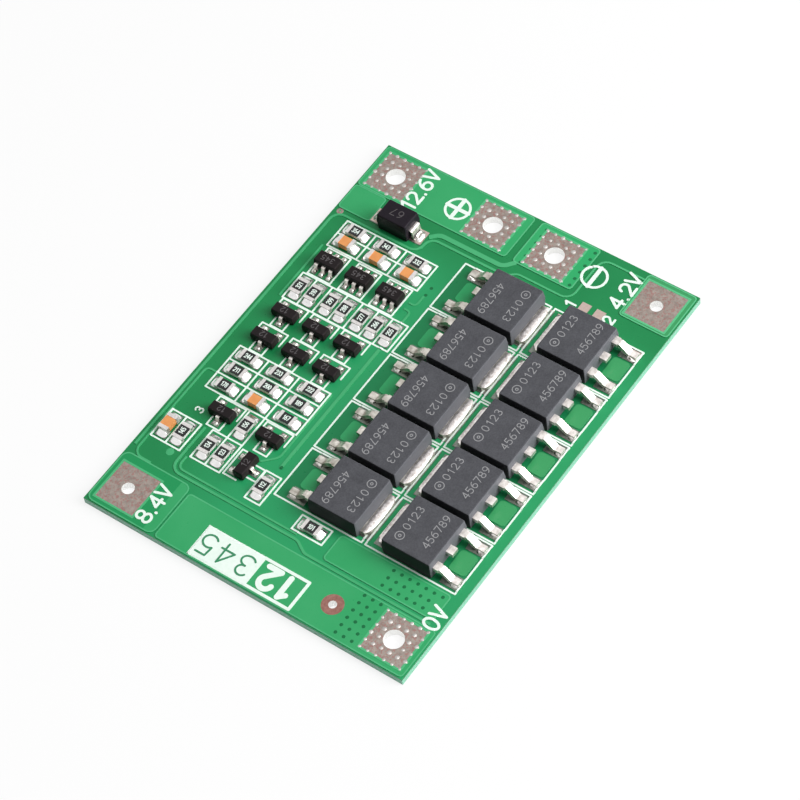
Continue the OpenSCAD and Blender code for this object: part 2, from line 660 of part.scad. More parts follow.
// Solder: a hollow fillet on each chip end, and a mound round each foot, all just inside their lands
joint_inset = 0.02;
joint_back = 0.25;
diode_solder_h = 0.6;
function fillet_outline(reach, h) =
    concat([[0, 0], [reach, 0]], [for (k = [1:bend_steps]) let (t = 90 * k / bend_steps)
        [reach * (1 - sin(t)), h * (1 - cos(t))]]);
module end_fillet(from, reach, w, h) {
    nose_r = 0.75 * w;
    intersection() {
        translate([from, 0, 0]) standing(w, fillet_outline(reach, h));
        // Rounded nose, seen from above
        translate([from + reach - nose_r, 0, 0]) cylinder(r = nose_r, h = h);
    }
}
module chip_solder_joints() {
    color("gainsboro") for (p = concat(resistors, capacitors)) place(p) for (a = [0, 180])
        rotate([0, 0, a]) end_fillet(chip_l / 2, chip_land_reach - 2 * joint_inset, chip_w, chip_solder_h);
}

function mound_section(top, foot, h) =
    [[-top / 2 - foot, 0], [top / 2 + foot, 0], [top / 2 + foot / 3, h / 2], [top / 2, h],
     [-top / 2, h], [-top / 2 - foot / 3, h / 2]];
module mound(x0, x1, w, foot, h) {
    translate([(x0 + x1) / 2, 0, 0]) intersection() {
        standing(w + 2 * foot, mound_section(x1 - x0 - 2 * foot, foot, h));
        rotate([0, 0, 90]) standing(x1 - x0, mound_section(w, foot, h));
    }
}
module small_mound(span, foot) {
    mound(span / 2 - joint_back, span / 2 + lead_land_reach - joint_inset, small_lead_w, foot,
          2 * small_lead_t);
}
module transistor_solder_joints() {
    color("gainsboro") {
        for (i = [1:FETS]) fet_place(i) difference() {
            fet_feet() mound(fet_l / 2 + lead_reach - foot_l, foot_land_tip - joint_inset, lead_w,
                             foot_solder_side, foot_solder_h);
            fet_metal();
        }
        for (p = transistors) place(p) difference() {
            sot_places() small_mound(sot_span, land_rim);
            sot_leads();
        }
        for (p = monitors) place(p) difference() {
            monitor_places() small_mound(monitor_span, land_rim - joint_inset);
            monitor_lead_set();
        }
        place([diode_x, diode_y, 0]) difference() {
            for (a = [90, -90]) rotate([0, 0, a])
                end_fillet(diode_l / 2 + diode_reach - land_rim, chip_land_reach, diode_lead_w,
                           diode_solder_h);
            diode_metal();
        }
    }
}

circuit_board();
terminal(pack_plus);  // pack_plus_terminal
terminal(output_plus);  // output_plus_terminal
terminal(output_minus);  // output_minus_terminal
terminal(cell_one_tap);  // cell_one_tap_terminal
terminal(cell_two_tap);  // cell_two_tap_terminal
terminal(pack_minus);  // pack_minus_terminal
sense_eyelet();
via_plugs();
copper_pours();
copper_tracks();
solder_lands();
for (i = [1:FETS])
    power_transistor_body(i);
for (i = [1:FETS])
    power_transistor_frame(i);
for (i = [1:MONITORS]) monitor_chip_body(i);
monitor_chip_leads();
for (i = [1:TRANSISTORS]) transistor_body(i);
transistor_leads();
diode_body();
diode_leads();
resistor_cores();
resistor_end_caps();
capacitor_cores();
capacitor_end_caps();
chip_solder_joints();
transistor_solder_joints();
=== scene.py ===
# %% [markdown]
# # A battery management board, dressed for its portrait
#
# The board is already built to size: it arrives as a frame of named solids. What is left for Blender is
# everything the eye sees first: glossy green mask over copper, white print, dull tin, bright solder and
# matte black mouldings. The lesson goes from the outside in: the frame, the camera, the light, then one
# finish or one set of small pieces at a time.

# %% Load the frame
import math
import random

import bpy
from mathutils import Matrix, Vector
from mathutils.bvhtree import BVHTree


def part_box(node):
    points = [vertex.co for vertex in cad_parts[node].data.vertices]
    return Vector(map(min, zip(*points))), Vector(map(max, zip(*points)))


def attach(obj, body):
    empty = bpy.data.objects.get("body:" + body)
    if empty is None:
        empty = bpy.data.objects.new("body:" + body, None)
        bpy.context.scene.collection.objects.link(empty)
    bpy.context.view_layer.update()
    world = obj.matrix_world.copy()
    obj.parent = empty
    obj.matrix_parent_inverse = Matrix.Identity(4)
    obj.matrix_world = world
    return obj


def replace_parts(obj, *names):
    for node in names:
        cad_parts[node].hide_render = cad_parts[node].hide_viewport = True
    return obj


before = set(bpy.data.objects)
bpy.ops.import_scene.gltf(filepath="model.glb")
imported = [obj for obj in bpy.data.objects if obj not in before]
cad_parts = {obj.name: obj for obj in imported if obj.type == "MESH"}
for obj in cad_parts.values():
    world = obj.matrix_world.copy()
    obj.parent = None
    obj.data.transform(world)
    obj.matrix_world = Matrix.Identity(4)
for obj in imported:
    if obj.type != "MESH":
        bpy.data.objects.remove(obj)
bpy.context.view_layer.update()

MM = 0.001
print("nodes in the frame:", len(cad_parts))

# %% [markdown]
# ## Where things are
#
# Every place comes from the frame, so the pieces added here follow the board if its sizes change. A node can
# hold many separate solids, such as all the resistors. A solid is found again by joining corners that
# share a face, and its box is all that the print and the solder need to know.

# %% Boxes of the solids in a node


def islands(node):
    """Boxes (low, high) in millimetres of the separate solids in a CAD node."""
    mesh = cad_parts[node].data
    spots = [tuple(round(c / MM, 3) for c in vertex.co) for vertex in mesh.vertices]
    solid = {spot: [spot] for spot in spots}
    for polygon in mesh.polygons:
        first = solid[spots[polygon.vertices[0]]]
        for v in polygon.vertices[1:]:
            other = solid[spots[v]]
            if other is not first:
                first += other
                solid.update((spot, first) for spot in other)
    groups = {id(group): group for group in solid.values()}.values()
    boxes = [tuple(Vector(extreme(p[k] for p in group) for k in range(3)) for extreme in (min, max))
             for group in groups]
    return sorted(boxes, key=lambda b: (round(b[0].x, 1), round(b[0].y, 1)))


def box_mm(node):
    """Lowest and highest corner of a whole node, in millimetres."""
    low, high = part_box(node)
    return low / MM, high / MM


def middle(box):
    """Centre of a box."""
    return (box[0] + box[1]) / 2


def lies_along_x(box):
    """True for a part that is longer along x than along y."""
    low, high = box
    return high.x - low.x > high.y - low.y


def numbered(stem):
    """The nodes called stem_1, stem_2 and so on, in order."""
    return [n for n in (f"{stem}_{k}" for k in range(1, len(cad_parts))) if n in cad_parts]


board_low, board_high = box_mm("circuit_board")
core_top = board_high.z
power_bodies = numbered("power_transistor_body")
power_frames = numbered("power_transistor_frame")
monitor_bodies = numbered("monitor_chip_body")
small_bodies = numbered("transistor_body")
resistors = islands("resistor_cores")
capacitors = islands("capacitor_cores")
terminals = {name: box_mm(name) for name in (
    "pack_plus_terminal", "output_plus_terminal", "output_minus_terminal",
    "cell_one_tap_terminal", "cell_two_tap_terminal", "pack_minus_terminal")}
land_top = terminals["pack_plus_terminal"][1].z
FET_FRAME_W = 6.6
FET_FRAME_SHIFT = -0.1
FRONT_ROW_MARGINS = (-0.1, 0.9)
BACK_ROW_MARGINS = (0.4, 1.4)


def fet_frame(name):
    """The white frame (x0, x1, y0, y1) of a power transistor, and whether its leads point to the front."""
    low, high = box_mm(name)
    body_low, body_high = box_mm(name.replace("frame", "body"))
    to_front = body_low.y - low.y > high.y - body_high.y
    x = (body_low.x + body_high.x) / 2 + FET_FRAME_SHIFT
    near, far = FRONT_ROW_MARGINS if to_front else BACK_ROW_MARGINS
    return (x - FET_FRAME_W / 2, x + FET_FRAME_W / 2, low.y + near, high.y + far), to_front


print("resistors:", len(resistors), "capacitors:", len(capacitors), "power transistors:", len(power_bodies))

# %% [markdown]
# ## The camera
#
# The photograph was taken from well above the board and a little rolled. Four corners of the board fix
# such a view completely, so the camera is given by its place, its azimuth, its elevation and its roll.
# The lens is long, which keeps the board's edges nearly parallel.

# %% Camera
CAMERA_PLACE = Vector((-136.4, -130.8, 268.0)) * MM
CAMERA_AZIMUTH = -46.34
CAMERA_ELEVATION = 54.79
CAMERA_ROLL = 10.0
LENS = 142.4
SENSOR = 36.0
PICTURE = 800

azimuth, elevation = math.radians(CAMERA_AZIMUTH), math.radians(CAMERA_ELEVATION)
to_camera = Vector((math.sin(azimuth) * math.cos(elevation), -math.cos(azimuth) * math.cos(elevation),
                    math.sin(elevation)))
camera_data = bpy.data.cameras.new("photograph_view")
camera_data.lens = LENS
camera_data.sensor_width = SENSOR
camera_data.clip_start = 0.01
camera_data.clip_end = 10
camera = bpy.data.objects.new("photograph_view", camera_data)
bpy.context.scene.collection.objects.link(camera)
camera.rotation_mode = "QUATERNION"
camera.location = CAMERA_PLACE
look = (-to_camera).to_track_quat("-Z", "Y")
camera.rotation_quaternion = look @ Matrix.Rotation(-math.radians(CAMERA_ROLL), 4, "Z").to_quaternion()
bpy.context.scene.camera = camera


def pixel(point):
    """Where a point in metres lands in the 800 x 800 picture."""
    local = camera.rotation_quaternion.inverted() @ (Vector(point) - camera.location)
    reach = LENS / SENSOR * PICTURE / -local.z
    return round(PICTURE / 2 + local.x * reach, 1), round(PICTURE / 2 - local.y * reach, 1)


for x in (board_low.x, board_high.x):
    for y in (board_low.y, board_high.y):
        print("corner", round(x, 1), round(y, 1), "at pixel", pixel(Vector((x, y, land_top)) * MM))

# %% [markdown]
# ## Light, world and floor
#
# Product photographs like this one use a white table and large soft lamps. A low softbox in front on the
# right lights the walls that look that way and puts the glints on the solder. A second one hangs overhead,
# and it keeps away from the place that the flat green surfaces mirror towards the camera: a lamp there
# would lay a milky haze over every colour. The world adds a little fill, so the faces turned away stay dark.

# %% Lamps
KEY_PLACE = (0.24, -0.54, 0.38)
KEY_WATTS = 4.9
TOP_PLACE = (0.1, -0.22, 0.6)
TOP_WATTS = 2.4
SOFTBOX_SIDE = 0.42


def softbox(name, place, watts):
    """A square area lamp that looks at the middle of the board; place is in metres."""
    lamp = bpy.data.lights.new(name, "AREA")
    lamp.shape = "SQUARE"
    lamp.size = SOFTBOX_SIDE
    lamp.energy = watts
    thing = bpy.data.objects.new(name, lamp)
    thing.location = place
    thing.rotation_mode = "QUATERNION"
    thing.rotation_quaternion = (-Vector(place)).to_track_quat("-Z", "Y")
    bpy.context.scene.collection.objects.link(thing)


softbox("key_softbox", KEY_PLACE, KEY_WATTS)
softbox("top_softbox", TOP_PLACE, TOP_WATTS)

# %% [markdown]
# ## Shader maths as sentences
#
# A material is easiest to read when its maths looks like maths. The class `Wire` wraps one socket and
# gives it +, -, * and comparisons, so that `1 - mask` adds a Math node by itself. `Nodes` holds the tree
# of a world or a material, and its method `node` makes any other node from its type, its settings and
# its inputs. `Paint` is the tree of one material, with the questions that a finish asks of a surface:
# where it is, which way it faces and what noise lies on it.

# %% Wire and Nodes


def maths(operation, flipped=False):
    """An operator that adds a Math node; flipped gives its reflected form, as in 1 - mask."""
    def operate(self, *others):
        terms = (*others, self) if flipped else (self, *others)
        return self.nodes.node("Math", {"operation": operation}, dict(enumerate(terms)))
    return operate


class Wire:
    """One output socket in a tree of nodes."""

    def __init__(self, nodes, socket):
        self.nodes, self.socket = nodes, socket

    __add__, __radd__ = maths("ADD"), maths("ADD", flipped=True)
    __sub__, __rsub__ = maths("SUBTRACT"), maths("SUBTRACT", flipped=True)
    __mul__, __rmul__ = maths("MULTIPLY"), maths("MULTIPLY", flipped=True)
    __lt__, __gt__ = maths("LESS_THAN"), maths("GREATER_THAN")
    __abs__ = maths("ABSOLUTE")


class Nodes:
    """The tree of a world or a material."""

    def __init__(self, owner):
        owner.use_nodes = True
        self.tree = owner.node_tree

    def node(self, kind, settings=(), inputs=(), out=0):
        """Adds a node: its settings first, then a wire or a value for each input."""
        made = self.tree.nodes.new("ShaderNode" + kind)
        for name, value in dict(settings).items():
            setattr(made, name, value)
        for name, value in dict(inputs).items():
            if isinstance(value, Wire):
                self.tree.links.new(value.socket, made.inputs[name])
            else:
                made.inputs[name].default_value = value
        return Wire(self, made.outputs[out])


# %% Paint
WALL_LEAN = 0.5


class Paint(Nodes):
    """A material with one Principled shader; fixed holds values that are the same all over."""

    def __init__(self, name, fixed):
        self.material = bpy.data.materials.new(name)
        super().__init__(self.material)
        self.shader = self.tree.nodes["Principled BSDF"]
        for socket, value in fixed.items():
            self.shader.inputs[socket].default_value = value

    def set(self, socket, wire):
        """Feeds one socket of the Principled shader."""
        self.tree.links.new(wire.socket, self.shader.inputs[socket])

    def place(self):
        """Position in millimetres, the same for every piece because each one sits at the origin."""
        metres = self.node("TexCoord", out="Object")
        return self.node("VectorMath", {"operation": "SCALE"}, {0: metres, "Scale": 1 / MM})

    def axes(self):
        """x, y and z of the position, in millimetres."""
        place = self.place()
        return [self.node("SeparateXYZ", inputs={0: place}, out=k) for k in range(3)]

    def normal(self, axis):
        """One part of the true normal; along axis 2 it is 1 on top faces, 0 on walls and -1 underneath."""
        true = self.node("NewGeometry", out="True Normal")
        return self.node("SeparateXYZ", inputs={0: true}, out=axis)

    def walls(self, lean=WALL_LEAN):
        """1 on faces that stand nearly upright."""
        return abs(self.normal(2)) < lean

    def noise(self, size, detail=2.0, stretch=(1, 1, 1)):
        """Cloudy noise from 0 to 1 whose lumps are about size millimetres across."""
        scaled = self.node("VectorMath", {"operation": "MULTIPLY"}, {0: self.place(), 1: stretch})
        return self.node("TexNoise", inputs={"Vector": scaled, "Scale": 1 / size, "Detail": detail})

    def mix(self, factor, first, second):
        """Colour first where factor is 0, second where it is 1."""
        return self.node("Mix", {"data_type": "RGBA"}, {0: factor, 6: first, 7: second}, out=2)

    def bump(self, height, distance, strength):
        """Turns a height from 0 to 1 into a dented normal; distance is in millimetres."""
        self.set("Normal", self.node("Bump", inputs={
            "Height": height, "Distance": distance * MM, "Strength": strength}))


def rgb(red, green, blue):
    """A colour read off the photograph, 0 to 255, as the linear values that shaders use."""
    linear = [c / 12.92 if c <= 0.04045 else ((c + 0.055) / 1.055) ** 2.4
              for c in (red / 255, green / 255, blue / 255)]
    return (*linear, 1.0)


def dress(paint, *nodes):
    """Gives CAD nodes a material."""
    for name in nodes:
        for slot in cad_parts[name].material_slots:
            slot.material = paint.material


print("palette test:", [round(c, 3) for c in rgb(46, 165, 105)])

# %% [markdown]
# ## Pieces from rows of points
#
# Each piece added to the board is one mesh, written down in millimetres. All of them are rows of points
# joined by quads, so `Skin` collects such rows: open rows make a sheet, closed rings make a tube, and rings
# that shrink towards a tip make a hill. A finished skin rides with the board and gets its paint.

# %% Skins


class Skin:
    """Corners in millimetres and faces, collected until they become one piece."""

    def __init__(self):
        self.corners, self.faces = [], []

    def sheet(self, rows):
        """Joins open rows of equal length."""
        first, count = len(self.corners), len(rows[0])
        self.corners += [p for row in rows for p in row]
        for i in range(len(rows) - 1):
            for a in range(first + i * count, first + (i + 1) * count - 1):
                self.faces.append((a, a + count, a + count + 1, a + 1))

    def tube(self, rings):
        """Joins closed rings of equal length, and says which corners the first and the last one have."""
        first, count = len(self.corners), len(rings[0])
        self.corners += [p for ring in rings for p in ring]
        for i in range(len(rings) - 1):
            for k in range(count):
                a, b = first + i * count + k, first + i * count + (k + 1) % count
                self.faces.append((a, b, b + count, a + count))
        last = len(self.corners) - count
        return range(first, first + count), range(last, last + count)

    def hill(self, rings, tip):
        """Joins rings and closes the last one over a tip."""
        top = self.tube(rings)[1]
        self.corners.append(tip)
        self.faces += [(a, b, len(self.corners) - 1) for a, b in zip(top, [*top[1:], top[0]])]

    def piece(self, name, paint, slot, smooth=0):
        """Makes the piece; edges that turn less than smooth degrees are blended."""
        mesh = bpy.data.meshes.new(name)
        mesh.from_pydata([Vector(c) * MM for c in self.corners], [], self.faces)
        mesh.materials.append(paint.material)
        if smooth:
            mesh.shade_smooth()
            mesh.set_sharp_from_angle(angle=math.radians(smooth))
        thing = bpy.data.objects.new(name, mesh)
        bpy.context.scene.collection.objects.link(thing)
        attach(thing, "root")
        print(name, "has", len(self.faces), "faces")
        return thing


def turns(count):
    """Equal steps round a full turn."""
    return [2 * math.pi * k / count for k in range(count)]


def oval(turn, squareness):
    """A point from -1 to 1 on a circle whose sides are pressed flat; at squareness 2 it is round."""
    c, d = math.cos(turn), math.sin(turn)
    stretch = (abs(c) ** squareness + abs(d) ** squareness) ** (-1 / squareness)
    return c * stretch, d * stretch


print("a squarer circle reaches", [round(c, 2) for c in oval(math.pi / 4, 4)], "at its corner")

# %% [markdown]
# ## A white room
#
# The camera looks past the board at pure white. Light Path tells the world and the floor which rays come
# from the camera, which come off something shiny and which pass through something clear. Those three see
# the white room, and only the rest, the light that falls on matte surfaces, is held down to a fill. The
# fill is stronger on the lamps' side, as it is in a room whose lamps all stand on one side.

# %% World and floor
FILL_DARK = 0.03
FILL_BRIGHT = 0.24
ROOM_LEVEL = 1.0
WHITE = (1, 1, 1, 1)


def white_rays(nodes):
    """1 for rays from the camera, off a shiny surface or through a clear one."""
    white = nodes.node("LightPath", out="Is Camera Ray")
    for kind in ("Is Glossy Ray", "Is Transmission Ray"):
        ray = nodes.node("LightPath", out=kind)
        white = nodes.node("Math", {"operation": "MAXIMUM"}, {0: white, 1: ray})
    return white


world = bpy.data.worlds.new("white_studio")
bpy.context.scene.world = world
sky = Nodes(world)
side = sky.node("SeparateXYZ", inputs={0: sky.node("TexCoord", out="Generated")})
fill = sky.node("MapRange", inputs={0: side, 1: -1.0, 2: 1.0, 3: FILL_DARK, 4: FILL_BRIGHT})
strength = sky.node("Mix", {"data_type": "FLOAT"}, {0: white_rays(sky), 2: fill, 3: ROOM_LEVEL})
background = sky.tree.nodes["Background"]
background.inputs["Color"].default_value = WHITE
sky.tree.links.new(strength.socket, background.inputs["Strength"])

FLOOR_HALF = 1.5
FLOOR_DROP = 0.02 * MM
FLOOR_LIFT = 0.82
FLOOR_GREY = (0.88, 0.88, 0.88, 1)
floor_paint = Paint("white_table", {"Base Color": FLOOR_GREY, "Roughness": 0.9})
matte = Wire(floor_paint, floor_paint.shader.outputs[0])
glow = floor_paint.node("Emission", inputs={0: WHITE})
lift = FLOOR_LIFT * white_rays(floor_paint)
either = floor_paint.node("MixShader", inputs={0: lift, 1: matte, 2: glow})
surface = floor_paint.tree.nodes["Material Output"].inputs["Surface"]
floor_paint.tree.links.new(either.socket, surface)

floor_mesh = bpy.data.meshes.new("white_table")
floor_mesh.from_pydata([(x * FLOOR_HALF, y * FLOOR_HALF, -FLOOR_DROP)
                        for x, y in ((-1, -1), (1, -1), (1, 1), (-1, 1))], [], [(0, 1, 2, 3)])
floor_mesh.materials.append(floor_paint.material)
floor = bpy.data.objects.new("white_table", floor_mesh)
bpy.context.scene.collection.objects.link(floor)
print("floor is", 2 * FLOOR_HALF, "m wide")

# %% [markdown]
# ## Green mask over laminate and over copper
#
# The board is glass cloth in resin, sold with a thin glossy lacquer, the solder mask. Over bare laminate
# the mask looks deep green, and over copper it looks lighter. The relief itself is in the frame, so the
# material only has to tell the surfaces of the board apart: masked faces, sawn edges and, with the same
# recipe in lighter colours, masked copper. Slow noise makes the lacquer cloudy, and fine noise lets the
# gloss shimmer. Painted light lies over the greens as well: a painted glare lightens them towards the
# front right, a painted sheen makes the laminate paler over most of the board, and a painted shade makes
# them deepest under the leads of the power transistors.

# %% Board materials
MASK_OVER_LAMINATE = rgb(32, 138, 80)
MASK_OVER_LAMINATE_DARK = rgb(10, 116, 62)
MASK_OVER_LAMINATE_SHEEN = rgb(38, 150, 93)
SHADE_UNDER_LEADS = rgb(6, 98, 55)
LEAD_SHADE_REACH = 6.0
LEAD_SHADE_DEPTH = 0.6
MASK_OVER_COPPER = rgb(28, 150, 86)
MASK_OVER_COPPER_PALE = rgb(68, 168, 110)
MASK_OVER_COPPER_GLARE = rgb(38, 168, 100)
MASK_OVER_TAP = rgb(26, 142, 82)
TAP_CORNER = (-15.0, 12.5)
MASK_ON_PADS = rgb(58, 150, 92)
PADS_CORNER = (-16.0, -12.0)
# Paler green of the mask over tracks, also used as a painted highlight on the walls of the pours
PALE_TRACK_AND_EDGE_HIGHLIGHT = rgb(82, 178, 122)
LAMINATE = rgb(150, 222, 188)
LAMINATE_DEEP = rgb(80, 148, 122)
MASK_LAP = 0.16
CLOTH_SIZE = 0.5
CLOTH_LAYERS = (1, 1, 9)
MASK_ROUGHNESS = 0.3
MASK_SHIMMER = 0.12
MASK_IOR = 1.33
CLOUD_SIZE = 7.0
RIPPLE_SIZE = 0.35
RIPPLE_DEPTH = 0.012
GLARE_LEAN = 1.8
GLARE_REACH = 62.0
SHEEN_X = (19.0, 13.0)
SHEEN_Y = (15.0, 7.0)


def between(paint, value, start, end):
    """0 where value is at start, 1 where it is at end, and a straight slope in the middle."""
    low, high = min(start, end), max(start, end)
    ends = (0.0, 1.0) if start < end else (1.0, 0.0)
    return paint.node("MapRange", inputs={0: value, 1: low, 2: high, 3: ends[0], 4: ends[1]})


def glare_towards_front_right(paint):
    """A painted glare from the lamps: grows towards the front right corner."""
    x, y, _ = paint.axes()
    return between(paint, x - GLARE_LEAN * y, 0.0, GLARE_REACH)


def haze(paint):
    """Where the painted sheen lies: 1 over most of the board, fading out towards its right and its back edge.
    """
    x, y, _ = paint.axes()
    return between(paint, x, *SHEEN_X) * between(paint, y, *SHEEN_Y)


def masked(name, dark, light, far=None, drift=glare_towards_front_right):
    """Solder mask in a cloudy mix of two greens; painted light, spread by drift, shifts it towards a third
    green or towards the light one.
    """
    paint = Paint(name, {"IOR": MASK_IOR})
    cloud, ripple = paint.noise(CLOUD_SIZE, 3.0), paint.noise(RIPPLE_SIZE)
    tone = paint.mix(drift(paint), paint.mix(cloud, dark, light), far or light)
    paint.set("Base Color", tone)
    paint.set("Roughness", MASK_ROUGHNESS + MASK_SHIMMER * (ripple - 0.5))
    paint.bump(ripple, RIPPLE_DEPTH, 0.4)
    return paint, tone


# The drifts are painted light: a paler sheen over most of the laminate, and a glare towards the front right
# on the copper, tracks and vias
board_paint, board_tone = masked("mask_over_laminate", MASK_OVER_LAMINATE_DARK, MASK_OVER_LAMINATE,
                                 MASK_OVER_LAMINATE_SHEEN, haze)
copper_paint, copper_tone = masked("mask_over_copper", MASK_OVER_COPPER, MASK_OVER_COPPER_PALE,
                                   MASK_OVER_COPPER_GLARE)
track_paint, _ = masked("mask_over_tracks", rgb(44, 154, 96), PALE_TRACK_AND_EDGE_HIGHLIGHT)
via_paint, _ = masked("mask_over_vias", rgb(6, 92, 50), rgb(16, 112, 64))

# Two corners of the copper have a green of their own, and the walls of every pour get a painted
# highlight, a paler green where their edges catch the light
x, y, _ = copper_paint.axes()
at_pads = (x > PADS_CORNER[0]) * (y < PADS_CORNER[1])
at_tap = (x < TAP_CORNER[0]) * (y > TAP_CORNER[1])
for place, colour in ((at_pads, MASK_ON_PADS), (at_tap, MASK_OVER_TAP),
                      (copper_paint.walls(), PALE_TRACK_AND_EDGE_HIGHLIGHT)):
    copper_tone = copper_paint.mix(place, copper_tone, colour)
copper_paint.set("Base Color", copper_tone)

# A painted shade darkens the mask under the leads of the power transistors, where leads and bodies shadow the
# board
x, y, height = board_paint.axes()
x0s, x1s, y0s, y1s = zip(*(fet_frame(name)[0] for name in power_frames))
front, back = min(y0s), max(y1s)
for near, far in ((front, front + LEAD_SHADE_REACH), (back - LEAD_SHADE_REACH, back)):
    under = (x > min(x0s)) * (x < max(x1s)) * (y > near) * (y < far)
    board_tone = board_paint.mix(LEAD_SHADE_DEPTH * under, board_tone, SHADE_UNDER_LEADS)

# Sawn edges show the glass cloth in layers, under a lap of mask
cloth = board_paint.noise(CLOTH_SIZE, 3.0, CLOTH_LAYERS)
edge = board_paint.mix(cloth, LAMINATE_DEEP, LAMINATE)
edge = board_paint.mix(height > core_top - MASK_LAP, edge, MASK_OVER_LAMINATE_DARK)
board_paint.set("Base Color", board_paint.mix(board_paint.walls(), board_tone, edge))
dress(board_paint, "circuit_board")
dress(copper_paint, "copper_pours")
dress(track_paint, "copper_tracks")
print("mask colours:", MASK_OVER_LAMINATE[:3], MASK_OVER_COPPER[:3])

# %% [markdown]
# ## Tin, solder and leads
#
# Nearly all the metal on show is tin of some kind. The terminals are dull and a little brown, with the
# mottling that hot air leaves when it blows the tin flat. Reflowed solder is nearly a mirror, and the tabs
# carry a blotchy leaf of it. Round the feet the solder has real mottling, and its dark patches are painted
# reflections of the dark surroundings. Leads have a silky plate; the back row gets a darker copy, a painted
# shade on leads that face away from the lamps. All share one recipe and differ in colour, contrast,
# roughness and the size of their noise.

# %% Metals
METAL_PATCHES = 0.2


def metal(name, dark, light, rough, grain, dent, contrast=1.0):
    """Metal with mottled colour and roughness; grain and dent are in millimetres."""
    paint = Paint(name, {"Metallic": 1.0})
    mottle = paint.noise(grain, 3.0)
    tone = paint.mix(0.5 + contrast * (mottle - 0.5), rgb(*dark), rgb(*light))
    paint.set("Base Color", tone)
    paint.set("Roughness", rough + METAL_PATCHES * (mottle - 0.5))
    paint.bump(paint.noise(grain / 2), dent, 0.6)
    return paint, tone


# Name, dark and light colour, roughness, size of the grain, depth of the dents, contrast
terminal_paint, terminal_tone = metal("dull_tinned_copper", (120, 108, 102), (168, 158, 150),
                                      0.5, 0.4, 0.03)
eyelet_paint, eyelet_tone = metal("copper_ring", (116, 76, 68), (166, 124, 114), 0.45, 0.3, 0.02)
land_paint, land_tone = metal("soldered_land", (72, 86, 78), (150, 152, 144), 0.42, 0.3, 0.03)
solder_paint, _ = metal("bright_solder", (214, 214, 214), (250, 248, 246), 0.26, 0.6, 0.008)
# The foot solder's dark colour and strong contrast paint in reflections of the dark surroundings, on top of
# its real mottling
foot_paint, _ = metal("foot_solder", (92, 88, 78), (244, 240, 236), 0.26, 0.4, 0.015, 2.4)
tab_paint, _ = metal("tab_solder", (186, 176, 170), (250, 246, 244), 0.42, 0.32, 0.02, 2.0)
crown_paint, _ = metal("via_crown", (140, 134, 130), (208, 205, 202), 0.5, 0.35, 0.02)
lead_paint, _ = metal("tin_plated_lead", (190, 182, 176), (244, 239, 235), 0.46, 0.5, 0.012, 1.8)
# A darker copy of the lead finish for the back row: painted shade, as those leads face away from the lamps
back_lead_paint_in_shade, _ = metal("lead_in_painted_shade", (132, 126, 114), (232, 228, 220), 0.34, 0.7, 0.006, 1.8)
cap_paint, _ = metal("chip_end_cap", (186, 182, 180), (234, 230, 228), 0.4, 0.25, 0.01)

# %% Metals on the frame
RED_TIN = rgb(150, 96, 92)
RED_SIZE = 0.22
RED_FROM = 0.56
RED_DEPTH = 0.5
BRIGHT_TIN = rgb(240, 240, 238)
TEST_LAND = rgb(188, 168, 160)
TEST_LANDS_FROM = 17.5

# Copper shines through thin tin in red specks, and the barrels keep the bright solder of their wires
red = terminal_paint.noise(RED_SIZE) > RED_FROM
terminal_tone = terminal_paint.mix(RED_DEPTH * red, terminal_tone, RED_TIN)
for paint, tone in ((terminal_paint, terminal_tone), (eyelet_paint, eyelet_tone)):
    paint.set("Base Color", paint.mix(paint.walls(), tone, BRIGHT_TIN))
at_test = land_paint.axes()[0] > TEST_LANDS_FROM
land_paint.set("Base Color", land_paint.mix(at_test, land_tone, TEST_LAND))

back_row = [name for name in power_frames if box_mm(name)[1].y > 0]
front_row = [name for name in power_frames if name not in back_row]
dress(terminal_paint, *terminals)
dress(eyelet_paint, "sense_eyelet")
dress(land_paint, "solder_lands")
dress(crown_paint, "via_plugs")
dress(solder_paint, "chip_solder_joints")
dress(foot_paint, "transistor_solder_joints")
dress(lead_paint, *front_row, "monitor_chip_leads", "transistor_leads", "diode_leads")
dress(back_lead_paint_in_shade, *back_row)
dress(cap_paint, "resistor_end_caps", "capacitor_end_caps")
print("frames in the front and the back row:", len(front_row), len(back_row))

# %% [markdown]
# ## Ceramics and mouldings
#
# A chip resistor is a block of white alumina with a black glaze on top, so its colour depends on height.
# A capacitor is fired ceramic all through, here a warm tan. Transistor bodies are epoxy filled with sand:
# nearly black, matte and finely pitted. Their walls are painted paler, partly for the polish of the mould
# and partly as a painted sheen, and the sides towards -x get a painted shade.

# %% Ceramics
ALUMINA = rgb(222, 222, 218)
GLAZE = rgb(9, 10, 12)
GLAZE_DEPTH = 0.05
ALUMINA_ROUGH = 0.5
GLAZE_POLISH = 0.25
TAN = rgb(238, 166, 98)
TAN_DARK = rgb(206, 128, 70)
TAN_PATCH = 0.8
TAN_ROUGH = 0.35
CERAMIC_IOR = 1.5

resistor_paint = Paint("glazed_alumina", {"IOR": CERAMIC_IOR})
on_top = resistor_paint.axes()[2] > resistors[0][1].z - GLAZE_DEPTH
resistor_paint.set("Base Color", resistor_paint.mix(on_top, ALUMINA, GLAZE))
resistor_paint.set("Roughness", ALUMINA_ROUGH - GLAZE_POLISH * on_top)
resistor_paint.bump(resistor_paint.noise(0.15), 0.01, 0.4)
dress(resistor_paint, "resistor_cores")

capacitor_paint = Paint("tan_ceramic", {"IOR": CERAMIC_IOR})
patches = capacitor_paint.noise(TAN_PATCH, 3.0)
capacitor_paint.set("Base Color", capacitor_paint.mix(patches, TAN_DARK, TAN))
capacitor_paint.set("Roughness", TAN_ROUGH + 0.1 * capacitor_paint.noise(0.3))
capacitor_paint.bump(capacitor_paint.noise(0.12), 0.012, 0.4)
dress(capacitor_paint, "capacitor_cores")
print("ceramic cores:", len(resistors), "glazed and", len(capacitors), "tan")

